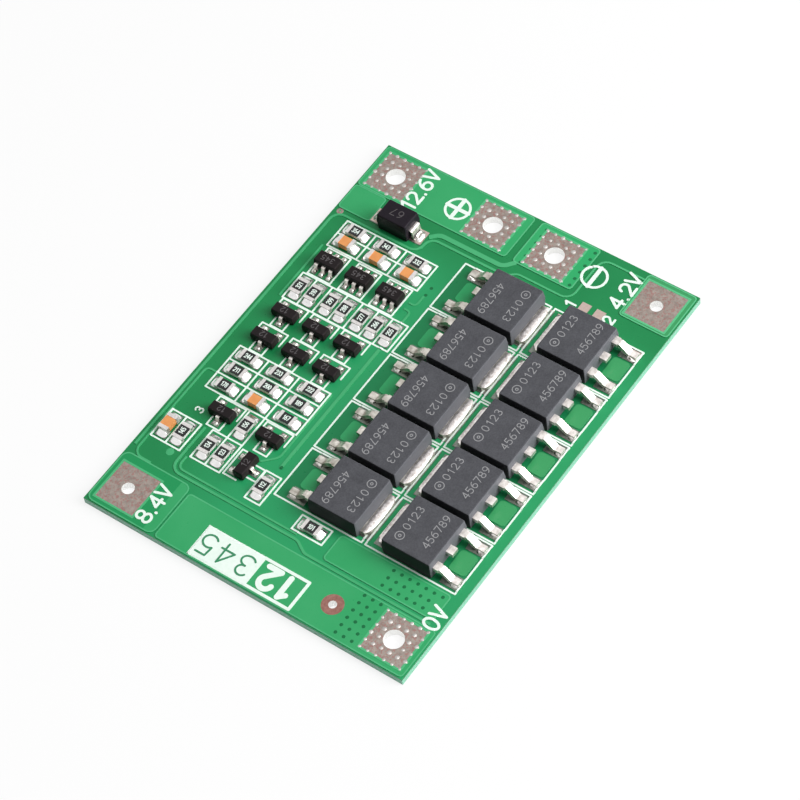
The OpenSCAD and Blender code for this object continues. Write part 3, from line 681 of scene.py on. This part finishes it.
# %% Mouldings
MOULD_IOR = 1.5
MOULD_SHINE = 0.12
MOULD_PITS = 0.09
MOULD_WALL_LEAN = 0.7
WALL_SHEEN_GAIN = 1.3
SHADED_FROM = -0.6
SHADE_LOSS = 0.45


def moulding(name, dark, light, rough):
    """Sand-filled epoxy: near black, with fine pits, walls painted paler (mould polish and painted sheen) and
    a painted shade on the sides towards -x.
    """
    paint = Paint(name, {"IOR": MOULD_IOR, "Specular IOR Level": MOULD_SHINE})
    pits = paint.noise(MOULD_PITS)
    grains = 0.5 * paint.noise(0.16, 1.0) + 0.5 * paint.noise(1.6, 4.0)
    # pale holds the walls' painted sheen, partly also the mould's polish; deep is the painted shade for faces
    # turned towards -x
    pale = tuple(min(c * WALL_SHEEN_GAIN, 1.0) for c in light)
    deep = tuple(c * SHADE_LOSS for c in dark[:3]) + (1.0,)
    walls = paint.walls(MOULD_WALL_LEAN)
    face = paint.mix(walls, paint.mix(grains, dark, light), paint.mix(grains, light, pale))
    paint.set("Base Color", paint.mix(paint.normal(0) < SHADED_FROM, face, deep))
    paint.set("Roughness", rough + 0.2 * (pits - 0.5))
    paint.bump(pits, 0.02, 0.5)
    return paint


power_paint = moulding("power_moulding", rgb(50, 50, 54), rgb(98, 99, 104), 0.55)
small_paint = moulding("small_moulding", rgb(14, 11, 12), rgb(36, 30, 31), 0.45)
diode_paint = moulding("diode_moulding", rgb(14, 11, 16), rgb(34, 28, 37), 0.4)
dress(power_paint, *power_bodies)
dress(small_paint, *small_bodies, *monitor_bodies)
dress(diode_paint, "diode_body")
print("mouldings:", len(power_bodies), len(monitor_bodies), len(small_bodies), 1)

# %% [markdown]
# ### Moulded edges
#
# A mould can't leave a sharp edge. Each body keeps its own three levels, at the underside, at the parting
# line and at the top, and gets rounded corners and a small round all along its upper edge. The skin is a
# loft: rounded rectangles stacked from the bottom up and joined by quads.

# %% Rounded bodies
CORNER_STEPS = 4
EDGE_STEPS = 4
FLAT_MARGIN = 0.05
PRINT_ROOM = 0.016
TIGHT_CORNER = 0.03
POWER_ROUNDS = (0.12, 0.2)
SMALL_ROUNDS = (0.07, 0.09)
DIODE_ROUNDS = (0.12, 0.15)
BODY_BLEND = 30


def body_levels(node):
    """(z, (x0, x1, y0, y1)) at the underside, the parting line and the top of a moulded body."""
    spots = [v.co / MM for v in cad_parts[node].data.vertices]
    low, high = box_mm(node)
    parting = next(p.z for p in spots if abs(p.x - high.x) < 0.001)
    levels = []
    for z in (low.z, parting, high.z):
        ring = [p for p in spots if abs(p.z - z) < 0.002]
        xs, ys = [p.x for p in ring], [p.y for p in ring]
        levels.append((z, (min(xs), max(xs), min(ys), max(ys))))
    return levels


def rounded_ring(area, z, r):
    """Corners of a rounded rectangle at height z, anticlockwise."""
    x0, x1, y0, y1 = area
    ring = []
    for cx, cy, start in ((x1 - r, y1 - r, 0), (x0 + r, y1 - r, 90),
                          (x0 + r, y0 + r, 180), (x1 - r, y0 + r, 270)):
        for k in range(CORNER_STEPS + 1):
            turn = math.radians(start + 90 * k / CORNER_STEPS)
            ring.append(Vector((cx + r * math.cos(turn), cy + r * math.sin(turn), z)))
    return ring


def shrink(area, by):
    """An area (x0, x1, y0, y1) made smaller on all sides."""
    return [c - by if k % 2 else c + by for k, c in enumerate(area)]


def moulded(node, paint, edge, corner):
    """Takes the place of a CAD body: same levels and draft, rounded corners and upper edge."""
    (z0, under), (z1, seam), (z2, top) = body_levels(node)

    def level(z):
        return [a + (b - a) * (z - z1) / (z2 - z1) for a, b in zip(seam, top)]

    shoulder = z2 - PRINT_ROOM - edge
    stack = [rounded_ring(under, z0, corner), rounded_ring(seam, z1, corner),
             rounded_ring(level(shoulder - FLAT_MARGIN), shoulder - FLAT_MARGIN, corner)]
    for k in range(EDGE_STEPS + 1):
        turn = math.radians(90 * k / EDGE_STEPS)
        z, by = shoulder + edge * math.sin(turn), edge * (1 - math.cos(turn))
        stack.append(rounded_ring(shrink(level(z), by), z, max(corner - by, TIGHT_CORNER)))
    stack.append(rounded_ring(shrink(level(z), edge + FLAT_MARGIN), z, TIGHT_CORNER))
    body = Skin()
    bottom, lid = body.tube(stack)
    body.faces += [tuple(reversed(bottom)), tuple(lid)]
    thing = body.piece(node + "_rounded", paint, "moulding_compound", BODY_BLEND)
    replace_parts(thing, node)
    return z


power_top = [moulded(name, power_paint, *POWER_ROUNDS) for name in power_bodies][0]
for name in monitor_bodies + small_bodies:
    moulded(name, small_paint, *SMALL_ROUNDS)
moulded("diode_body", diode_paint, *DIODE_ROUNDS)
print("power bodies end at", round(power_top, 3), "mm")

# %% [markdown]
# ### Solder
#
# Solder wets what it touches, so it climbs the end of a chip and thins out to the rim of its land. Each
# joint of the frame gives its box and the way it points. The skin over it falls in an S, steep in the
# middle, and rounds off to both sides. The bent leads stand in mounds of solder instead.

# %% Joints
JOINT_STEPS = 8
NOSE_START = 0.3
NOSE_LOSS = 0.8
NOSE_CURVE = 2.4
FALL_CURVE = 0.85
SIDE_CURVE = 6
MOUND_RINGS = 7
MOUND_SIDES = 28
MOUND_SQUARENESS = 3.4
SOLDER_BLEND = 60
chips = resistors + capacitors


def joint(skin, box, bodies):
    """Adds one smooth end joint to a skin; it points away from the nearest of the bodies."""
    low, high = box
    at = middle(box).xy
    chip = min((middle(body).xy for body in bodies), key=lambda spot: (spot - at).length)
    way = at - chip
    lengthways = abs(way.x) > abs(way.y)
    out = Vector((math.copysign(1, way.x), 0)) if lengthways else Vector((0, math.copysign(1, way.y)))
    side = Vector((-out.y, out.x))
    size = high - low
    reach, wide = (size.x, size.y) if lengthways else (size.y, size.x)
    foot = at - out * reach / 2
    rows = []
    for i in range(JOINT_STEPS + 1):
        u = i / JOINT_STEPS
        nose = max(0.0, (u - NOSE_START) / (1 - NOSE_START))
        half = wide / 2 * math.sqrt(max(1 - NOSE_LOSS * nose ** NOSE_CURVE, 0))
        fall = 0.5 + 0.5 * math.cos(math.pi * u ** FALL_CURVE)
        rows.append([])
        for j in range(JOINT_STEPS + 1):
            v = 2 * j / JOINT_STEPS - 1
            spot = foot + out * reach * u + side * half * v
            rows[-1].append((spot.x, spot.y, low.z + size.z * fall * (1 - v ** SIDE_CURVE) ** 0.5))
    skin.sheet(rows)


def mound(skin, box):
    """Adds a smooth mound that fills a box and has rounded sides."""
    low, high = box
    at, half = middle(box), (high - low) / 2
    rings = []
    for i in range(MOUND_RINGS):
        share = 1 - i / MOUND_RINGS
        z = low.z + (high.z - low.z) * (1 - share ** 3) ** 0.6
        rings.append([(at.x + half.x * c * share, at.y + half.y * d * share, z)
                      for c, d in (oval(turn, MOUND_SQUARENESS) for turn in turns(MOUND_SIDES))])
    skin.hill(rings, (at.x, at.y, high.z))


joints = Skin()
for box in islands("chip_solder_joints"):
    joint(joints, box, chips)
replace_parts(joints.piece("chip_solder_skins", solder_paint, "solder", SOLDER_BLEND), "chip_solder_joints")

# Feet stand in mounds; only the diode's wide leads have fillets at their ends, like a chip
feet = Skin()
diode = box_mm("diode_body")
for box in islands("transistor_solder_joints"):
    if box[1].x < diode[0].x:
        mound(feet, box)
    else:
        joint(feet, box, [diode])
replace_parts(feet.piece("lead_solder_skins", foot_paint, "solder", SOLDER_BLEND), "transistor_solder_joints")

# %% [markdown]
# ### Leaves and crowns
#
# The tab of each power transistor carries a flat leaf of bright solder, thicker towards the body, with a
# wavy rim. The stitching vias round the terminals get low domes, no two quite alike.

# %% Solder on the tabs
TAB_T = 0.5
LEAF_HALF = (2.55, 0.5)
LEAF_RISE = 0.1
LEAF_INSET = 0.5
LEAF_SQUARENESS = 2.6
LEAF_LEAN = 0.35
LEAF_WAVES = 3
LEAF_WAVE = 0.05
LEAF_RINGS = 7
LEAF_SIDES = 48
LEAF_BLEND = 70
leaves = Skin()
tab_top = box_mm(power_frames[0])[0].z + TAB_T
for name in power_frames:
    low, high = box_mm(name)
    end, out = (high.y, 1) if fet_frame(name)[1] else (low.y, -1)
    x, y = (low.x + high.x) / 2, end - out * LEAF_INSET
    rings = []
    for i in range(LEAF_RINGS):
        share = 1 - i / LEAF_RINGS
        rings.append([])
        for turn in turns(LEAF_SIDES):
            wave = 1 + LEAF_WAVE * math.sin(LEAF_WAVES * turn + x) * share
            u, v = (c * share * wave for c in oval(turn, LEAF_SQUARENESS))
            v -= LEAF_LEAN * out * (1 - share)
            z = tab_top + LEAF_RISE * (1 - share ** 2) ** 0.7
            rings[-1].append((x + LEAF_HALF[0] * u, y + LEAF_HALF[1] * v, z))
    leaves.hill(rings, (x, y - LEAF_LEAN * out * LEAF_HALF[1], tab_top + LEAF_RISE))
leaves.piece("tab_solder", tab_paint, "solder", LEAF_BLEND)

# %% Crowns on the vias
DOME_SHARES = (1.0, 0.85, 0.55)
DOME_SIDES = 14
CROWN_SWELL = (0.78, 1.15)
CROWN_RISE = 1.5


def dome(skin, x, y, z, r, h):
    """Adds a low dome with its foot at height z."""
    skin.hill([[(x + r * share * math.cos(turn), y + r * share * math.sin(turn), z + h * (1 - share ** 2))
                for turn in turns(DOME_SIDES)] for share in DOME_SHARES], (x, y, z + h))


chance = random.Random(4)
crowns = Skin()
for low, high in islands("via_plugs"):
    at, swell = middle((low, high)), chance.uniform(*CROWN_SWELL)
    dome(crowns, at.x, at.y, low.z, (high.x - low.x) / 2 * swell, (high.z - low.z) * CROWN_RISE * swell)
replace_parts(crowns.piece("via_crowns", crown_paint, "solder", SOLDER_BLEND), "via_plugs")

# %% [markdown]
# ## White print
#
# The print is a film of ink, about a fortieth of a millimetre thick, laid over whatever relief is under
# it. A font or a texture would float or smear, so the ink is built as thin ribbons: a path is cut into
# short steps, each step drops a ray on the board to find its height, and the ribbon is widened to the pen's
# width with round ends. The same pen draws frames, signs and figures.

# %% The pen
INK = 0.025
STEP = 0.12
SHARP = math.radians(40)
CAP_STEPS = 4
CAP_START = 8
NIB = 0.09
FILM_STEP = 0.0012
FILM_LAYERS = 7
FIELD_STEP = 0.2
ABOVE = 10

corners, faces = [], []
for name in ("circuit_board", "copper_pours", "copper_tracks", "solder_lands", *terminals):
    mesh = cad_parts[name].data
    faces += [[len(corners) + v for v in p.vertices] for p in mesh.polygons]
    corners += [v.co / MM for v in mesh.vertices]
ground = BVHTree.FromPolygons(corners, faces)


def ground_height(x, y):
    """Height of the bare board at a place: the highest spot under the nib, so ink bridges small steps."""
    heights = [core_top]
    for dx, dy in ((0, 0), (NIB, 0), (-NIB, 0), (0, NIB), (0, -NIB)):
        hit = ground.ray_cast(Vector((x + dx, y + dy, ABOVE)), Vector((0, 0, -1)))
        if hit[0]:
            heights.append(hit[0].z)
    return max(heights)


def split_at_corners(points):
    """Cuts a path into smooth stretches, so that each sharp corner gets two round ends."""
    stretches = [[points[0]]]
    for before, here, after in zip(points, points[1:], points[2:]):
        stretches[-1].append(here)
        if (here - before).angle(after - here) > SHARP:
            stretches.append([here])
    stretches[-1].append(points[-1])
    return stretches


def evenly(points):
    """Adds points so that no step is longer than STEP."""
    path = [points[0]]
    for a, b in zip(points, points[1:]):
        n = max(1, math.ceil((b - a).length / STEP))
        path += [a.lerp(b, k / n) for k in range(1, n + 1)]
    return path


def rings(path, half):
    """(centre, sideways vector) along a path; the ends of an open one narrow in a half circle."""
    last = len(path) - 1
    closed = (path[0] - path[-1]).length < 1e-6
    angles = [math.radians(CAP_START + (90 - CAP_START) * k / CAP_STEPS) for k in range(CAP_STEPS)]
    made = []
    for i, p in enumerate(path):
        after = path[1] if closed and i == last else path[min(i + 1, last)]
        before = path[-2] if closed and i == 0 else path[max(i - 1, 0)]
        ahead = (after - before).normalized() * half
        across = Vector((-ahead.y, ahead.x))
        if i == 0 and not closed:
            made += [(p - ahead * math.cos(t), across * math.sin(t)) for t in angles]
        made.append((p, across))
        if i == last and not closed:
            made += [(p + ahead * math.cos(t), across * math.sin(t)) for t in reversed(angles)]
    return made


class Ink(Skin):
    """A skin of ink ribbons; height(x, y) says what lies under the pen."""

    def __init__(self, height, film=INK):
        super().__init__()
        self.height, self.film, self.count = height, film, 0

    def ribbon(self, path, half, layer=None):
        """One stretch; crossing stretches differ a little in height, so that none of them flickers."""
        self.count += 1
        film = self.film + FILM_STEP * (self.count % FILM_LAYERS if layer is None else layer)
        stack = []
        for centre, side in rings(path, half):
            left, right = centre + side, centre - side
            top = max(self.height(*spot) for spot in (centre, left, right)) + film
            stack.append([(*left, top), (*right, top),
                          (*right, self.height(*right)), (*left, self.height(*left))])
        first, last = self.tube(stack)
        self.faces += [(first[0], *reversed(first[1:])), tuple(last)]

    def line(self, points, width, layer=None):
        """Draws a path of (x, y) points in millimetres."""
        for stretch in split_at_corners([Vector(p) for p in points]):
            self.ribbon(evenly(stretch), width / 2, layer)

    def field(self, x0, x1, y0, y1):
        """A filled rectangle, draped over the relief."""
        nx, ny = math.ceil((x1 - x0) / FIELD_STEP), math.ceil((y1 - y0) / FIELD_STEP)
        rows = [[] for _ in range(nx + 1)]
        for i, row in enumerate(rows):
            for j in range(ny + 1):
                x, y = x0 + (x1 - x0) * i / nx, y0 + (y1 - y0) * j / ny
                inside = 0 < i < nx and 0 < j < ny
                row.append((x, y, self.height(x, y) + self.film * inside))
        self.sheet(rows)


def matte_ink(name, dark, light):
    """Matte ink with a slightly uneven tone."""
    paint = Paint(name, {"IOR": 1.45})
    paint.set("Base Color", paint.mix(paint.noise(0.4), dark, light))
    paint.set("Roughness", 0.45 + 0.2 * paint.noise(0.2))
    return paint


ink_paint = matte_ink("white_ink", rgb(222, 240, 228), rgb(242, 252, 246))
mark_paint = matte_ink("laser_mark", rgb(132, 132, 134), rgb(160, 160, 162))
faint_paint = matte_ink("faint_mark", rgb(62, 58, 60), rgb(88, 84, 86))
line_paint = matte_ink("green_lines_in_white", rgb(40, 120, 80), rgb(58, 140, 98))
# Pale green for the rims round pours and terminals: a painted highlight on the edges of the mask
rim_highlight_paint, _ = masked("mask_rim_highlight", rgb(58, 164, 106), rgb(92, 186, 132))
print("pen ready, ink is", INK, "mm thick")

# %% [markdown]
# ### Pale rims
#
# Every pour and every bare terminal gets a pale green rim, a painted highlight where the edge of the mask
# catches the light. The outlines are read from the upward faces of the frame: an edge that only one of them
# uses is on the rim.

# %% Rims of pours and terminals
RIM_PEN = 0.15
RIM_FILM = 0.008
RIM_OUT = 0.09
SMALL_PAD = 4.0


def top_outlines(node):
    """Closed outlines round the upward faces of a CAD node, as lists of points in millimetres."""
    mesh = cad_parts[node].data
    spots = [tuple(round(c / MM, 3) for c in v.co[:2]) for v in mesh.vertices]
    edges = set()
    for polygon in mesh.polygons:
        if polygon.normal.z > 0.9:
            ring = [spots[v] for v in polygon.vertices]
            edges.update(zip(ring, ring[1:] + ring[:1]))
    following = {a: b for a, b in edges if (b, a) not in edges}
    loops = []
    while following:
        start, here = following.popitem()
        loop = [start, here]
        while here in following:
            here = following.pop(here)
            loop.append(here)
        loops.append(loop)
    return loops


rims = Ink(ground_height, RIM_FILM)
for loop in top_outlines("copper_pours"):
    if max(abs(a - b) for p in loop for a, b in zip(p, loop[0])) > SMALL_PAD:
        rims.line(loop, RIM_PEN)
rims.film = RIM_FILM + FILM_LAYERS * FILM_STEP
for low, high in terminals.values():
    x0, x1, y0, y1 = low.x - RIM_OUT, high.x + RIM_OUT, low.y - RIM_OUT, high.y + RIM_OUT
    rims.line([(x0, y0), (x1, y0), (x1, y1), (x0, y1), (x0, y0)], RIM_PEN)
rims.piece("painted_highlight_rims", rim_highlight_paint, "solder_mask")

# %% [markdown]
# ### Figures
#
# The figures are plain strokes. Each one is a few arcs and lines in a cell one unit wide and 1.6 units
# tall, so that a number can be drawn at any size, turned any way and with any pen.

# %% Figures and signs
FIGURE_H = 1.6


def arc(cx, cy, rx, ry, start, end, steps=14):
    """Points along part of an ellipse, with angles in degrees."""
    angles = [math.radians(start + (end - start) * k / steps) for k in range(steps + 1)]
    return [(cx + rx * math.cos(t), cy + ry * math.sin(t)) for t in angles]


FIGURES = {
    "0": [arc(0.5, 0.8, 0.5, 0.8, 0, 360, 24)],
    "1": [[(0.15, 1.25), (0.55, 1.6), (0.55, 0)]],
    "2": [arc(0.5, 1.12, 0.48, 0.48, 170, -35) + [(0.02, 0), (1, 0)]],
    "3": [arc(0.46, 1.2, 0.42, 0.4, 150, -90) + arc(0.46, 0.41, 0.5, 0.41, 90, -150)],
    "4": [[(0.75, 0), (0.75, 1.6), (0, 0.48), (1.02, 0.48)]],
    "5": [[(0.92, 1.6), (0.18, 1.6), (0.1, 0.88)] + arc(0.46, 0.5, 0.52, 0.5, 130, -145)],
    "6": [arc(0.5, 0.48, 0.48, 0.48, 180, 540, 20), arc(0.95, 0.5, 0.93, 1.1, 180, 100)],
    "7": [[(0, 1.6), (1, 1.6), (0.35, 0)]],
    "8": [arc(0.5, 1.2, 0.42, 0.4, -90, 270, 20), arc(0.5, 0.41, 0.5, 0.41, 90, 450, 20)],
    "9": [arc(0.5, 1.12, 0.48, 0.48, 0, 360, 20), arc(0.05, 1.1, 0.93, 1.1, 0, -80)],
    "V": [[(0, 1.6), (0.52, 0), (1.04, 1.6)]],
    ".": [[(0.12, 0.0), (0.12, 0.06)]],
}
NARROW = {".": 0.3, "1": 0.75}


def write(ink, text, centre, height, width, turn=0, gap=0.32, squeeze=1.0):
    """Draws a number round its centre; height is in millimetres and turn in degrees."""
    unit = height / FIGURE_H
    along = -(sum(NARROW.get(c, 1.0) for c in text) + gap * (len(text) - 1)) / 2
    spin = Matrix.Rotation(math.radians(turn), 2)
    for c in text:
        for stroke in FIGURES[c]:
            path = []
            for x, y in stroke:
                flat = Vector(((along + x) * squeeze, y - FIGURE_H / 2)) * unit
                path.append(Vector(centre) + spin @ flat)
            ink.line(path, width)
        along += NARROW.get(c, 1.0) + gap


print("figures:", "".join(FIGURES))

# %% [markdown]
# ### Frames and marks on the board
#
# White frames show where each part goes. They are worked out from the parts' own boxes: a chip's frame
# stands a set distance off its ends and sides, and neighbours share a line. The terminals carry their
# plain voltages.

# %% Frames
FRAME_PEN = 0.19
CHIP_CELL = (3.78, 1.93)
MONITOR_FRAME = (3.9, 2.95)
SHARED = 0.32
EDGE_LAYERS = 5


def box_edges(x0, x1, y0, y1):
    """Four edges as (runs along x, level, from, to)."""
    return [(True, y0, x0, x1), (True, y1, x0, x1), (False, x0, y0, y1), (False, x1, y0, y1)]


def edges_round(box, width, depth):
    """Edges of a rectangle round the middle of a box."""
    at = middle(box)
    return box_edges(at.x - width / 2, at.x + width / 2, at.y - depth / 2, at.y + depth / 2)


def shared(edges):
    """Where two frames meet, their edges become one."""
    kept = []
    for along, level, a, b in sorted(edges):
        for k, (other, near, c, d) in enumerate(kept):
            if other == along and abs(near - level) < SHARED and a <= d + SHARED and c <= b + SHARED:
                kept[k] = (along, (near + level) / 2, min(a, c), max(b, d))
                break
        else:
            kept.append((along, level, a, b))
    return kept


def draw_edges(ink, edges, width):
    """Draws edges above the figures; lines along x have the odd layers and lines along y the even ones."""
    for along, level, a, b in edges:
        layer = FILM_LAYERS + 2 * (ink.count % EDGE_LAYERS) + along
        ink.line([(a, level), (b, level)] if along else [(level, a), (level, b)], width, layer)


board_ink = Ink(ground_height)
chip_edges = []
for box in chips:
    chip_edges += edges_round(box, *(CHIP_CELL if lies_along_x(box) else CHIP_CELL[::-1]))
draw_edges(board_ink, shared(chip_edges), FRAME_PEN)
for name in monitor_bodies:
    draw_edges(board_ink, edges_round(box_mm(name), *MONITOR_FRAME), FRAME_PEN)

# Three-lead transistors have a box on the single lead's side and a bracket on the other
SINGLE_BOX = ((-0.62, -0.83), (-1.78, -0.83), (-1.78, 0.83), (-0.62, 0.83))
BRACKET = ((0.15, -1.7), (1.8, -1.7), (1.8, 1.7), (0.15, 1.7))
for name in small_bodies:
    box = box_mm(name)
    at, spin = middle(box).xy, Matrix.Rotation(math.radians(90 if lies_along_x(box) else 0), 2)
    for outline in (SINGLE_BOX, BRACKET):
        for a, b in zip(outline, outline[1:]):
            board_ink.line([at + spin @ Vector(a), at + spin @ Vector(b)], FRAME_PEN)

for name in power_frames:
    draw_edges(board_ink, box_edges(*fet_frame(name)[0]), FRAME_PEN)
print("lines of ink for the frames:", board_ink.count)

# %% Marks
# Text, centre, height and pen: the voltages, numbers for the two test lands, and one small label
MARKS = (("12.6V", (23.55, 13.4), 1.7, 0.3), ("8.4V", (-23.8, 13.3), 1.7, 0.3),
         ("4.2V", (23.65, -13.0), 1.7, 0.3), ("0V", (-19.6, -18.9), 1.7, 0.3),
         ("1", (19.3, -8.9), 1.2, 0.24), ("2", (19.6, -13.5), 1.2, 0.24), ("3", (-12.0, 16.5), 0.9, 0.18))
for mark in MARKS:
    write(board_ink, *mark)

# Plus and minus in circles beside the outputs
SIGN_R = 1.37
SIGN_PEN = 0.29
BAR_PEN = 0.46
PLUS, MINUS = (23.55, 8.45), (23.55, -9.15)
for x, y in (PLUS, MINUS):
    board_ink.line(arc(x, y, SIGN_R, SIGN_R, 0, 360, 48), SIGN_PEN)
    board_ink.line([(x - SIGN_R, y), (x + SIGN_R, y)], BAR_PEN)
    if (x, y) == PLUS:
        board_ink.line([(x, y - SIGN_R), (x, y + SIGN_R)], BAR_PEN)

# Panel with a white field and a framed green field, and a plain number in each
PANEL_X = (-26.7, -22.75)
WHITE_Y = (-0.3, 6.9)
GREEN_Y = (-6.05, -0.3)
PANEL_PEN = 0.34
GREEN_FIGURES = ("12", (-24.72, -3.1), 2.5, 0.62)
WHITE_FIGURES = ("345", (-24.75, 3.3), 2.4, 0.22)
board_ink.field(*PANEL_X, *WHITE_Y)
inset = PANEL_PEN / 2
panel_edges = box_edges(PANEL_X[0] + inset, PANEL_X[1] - inset, GREEN_Y[0] + inset, GREEN_Y[1])
draw_edges(board_ink, panel_edges, PANEL_PEN)
write(board_ink, *GREEN_FIGURES, turn=90, gap=0.55)
board_ink.piece("white_print", ink_paint, "solder_mask")

panel_ink = Ink(lambda x, y: ground_height(x, y) + INK)
write(panel_ink, *WHITE_FIGURES, turn=90, gap=0.5, squeeze=1.05)
panel_ink.piece("panel_figures", line_paint, "solder_mask")

# %% [markdown]
# ### Codes and laser marks
#
# Small parts carry codes. On the chip resistors they are printed on the glaze, and on the power
# transistors a laser burns them light grey. The small bodies have fainter marks, one height for each kind
# of body. All of it is generic: plain numbers and a plain ring.

# %% Codes and laser marks
CODE_FILM = 0.008
CODE_START = 101
CODE_STEP = 11
CODE_HEIGHT, CODE_PEN = 0.52, 0.09
chip_ink = Ink(lambda x, y: resistors[0][1].z, CODE_FILM)
for k, box in enumerate(resistors):
    write(chip_ink, str(CODE_START + CODE_STEP * k), middle(box).xy, CODE_HEIGHT, CODE_PEN,
          0 if lies_along_x(box) else -90, gap=0.42, squeeze=0.62)
chip_ink.piece("resistor_codes", ink_paint, "resistor_glaze")

LASER_PEN = 0.09
LASER_HEIGHT = 0.82
LASER_RING = (-1.75, 1.6)
RING_RADII = ((0.48, 24), (0.14, 10))
LASER_ROWS = (("0123", (0.65, 1.6), 0.6), ("456789", (0.5, -1.3), 0.42))
laser = Ink(lambda x, y: power_top, CODE_FILM)
for name in power_bodies:
    at, turn = middle(box_mm(name)).xy, 0 if fet_frame(name.replace("body", "frame"))[1] else 180
    spin = Matrix.Rotation(math.radians(turn), 2)
    x, y = at + spin @ Vector(LASER_RING)
    for r, steps in RING_RADII:
        laser.line(arc(x, y, r, r, 0, 360, steps), LASER_PEN)
    for text, place, gap in LASER_ROWS:
        write(laser, text, at + spin @ Vector(place), LASER_HEIGHT, LASER_PEN, turn, gap)
laser.piece("laser_marks", mark_paint, "moulding_compound")

FAINT_MARKS = (("monitor_marks", monitor_bodies, "345", 0.6), ("transistor_marks", small_bodies, "12", 0.6),
               ("diode_marks", ["diode_body"], "67", 0.9))
for title, names, text, height in FAINT_MARKS:
    top = box_mm(names[0])[1].z - PRINT_ROOM
    faint = Ink(lambda x, y: top, CODE_FILM)
    for name in names:
        box = box_mm(name)
        write(faint, text, middle(box).xy, height, LASER_PEN, 0 if lies_along_x(box) else 90, gap=0.5)
    faint.piece(title, faint_paint, "moulding_compound")

# %% [markdown]
# ### Vias under the mask
#
# Rows of small vias stitch the pours to the other side. Most are closed by the mask and show as dark green
# dots, sunk a little in the real board and drawn here as very low domes. One small via is open.

# %% Vias
VIA_R = 0.2
VIA_RISE = 0.012
VIAS_IN_ROW = 6
LONE_VIAS = ((-17.2, -18.15), (-13.3, 4.8), (12.35, 4.8), (13.4, 4.8))
VIA_ROWS = (*(((-26.1, y), (-21.15, y)) for y in (-11.4, -12.4, -13.4)),
            *(((x, -12.2), (x, -17.15)) for x in (-19.25, -18.25, -17.25)),
            ((21.3, -7.5), (26.2, -7.5)), ((21.1, -1.35), (26.1, -1.35)))
tented = [Vector(place) for place in LONE_VIAS]
for start, end in VIA_ROWS:
    tented += [Vector(start).lerp(Vector(end), k / (VIAS_IN_ROW - 1)) for k in range(VIAS_IN_ROW)]


def under_ring(place):
    """True for a via that the ring round a sign would touch."""
    away = [(place - Vector(sign)).length for sign in (PLUS, MINUS)]
    return any(SIGN_R - VIA_R * 2 <= r <= SIGN_R + VIA_R for r in away)


tented = [place for place in tented if not under_ring(place)]
vias = Skin()
for x, y in tented:
    dome(vias, x, y, ground_height(x, y), VIA_R, VIA_RISE)
vias.piece("tented_vias", via_paint, "solder_mask", SOLDER_BLEND)

# The open via has a ring of tin round a dark hole, and a spot of mask covers one more
OPEN_VIA, RING_R, RING_RISE = (16.8, 19.3), 0.4, 0.02
HOLE_R, HOLE_RISE = 0.17, 0.03
SPOT, SPOT_R, SPOT_RISE = (-17.8, 15.9), 0.45, 0.015
ring = Skin()
dome(ring, *OPEN_VIA, ground_height(*OPEN_VIA), RING_R, RING_RISE)
ring.piece("open_via", terminal_paint, "tinned_copper", SOLDER_BLEND)
spots = Skin()
dome(spots, *OPEN_VIA, ground_height(*OPEN_VIA), HOLE_R, HOLE_RISE)
dome(spots, *SPOT, ground_height(*SPOT), SPOT_R, SPOT_RISE)
spots.piece("masked_spots", track_paint, "solder_mask", SOLDER_BLEND)

# %% [markdown]
# ## View transform
#
# The render keeps Blender's Standard view transform.

# %% Finish
bpy.context.scene.view_settings.view_transform = "Standard"
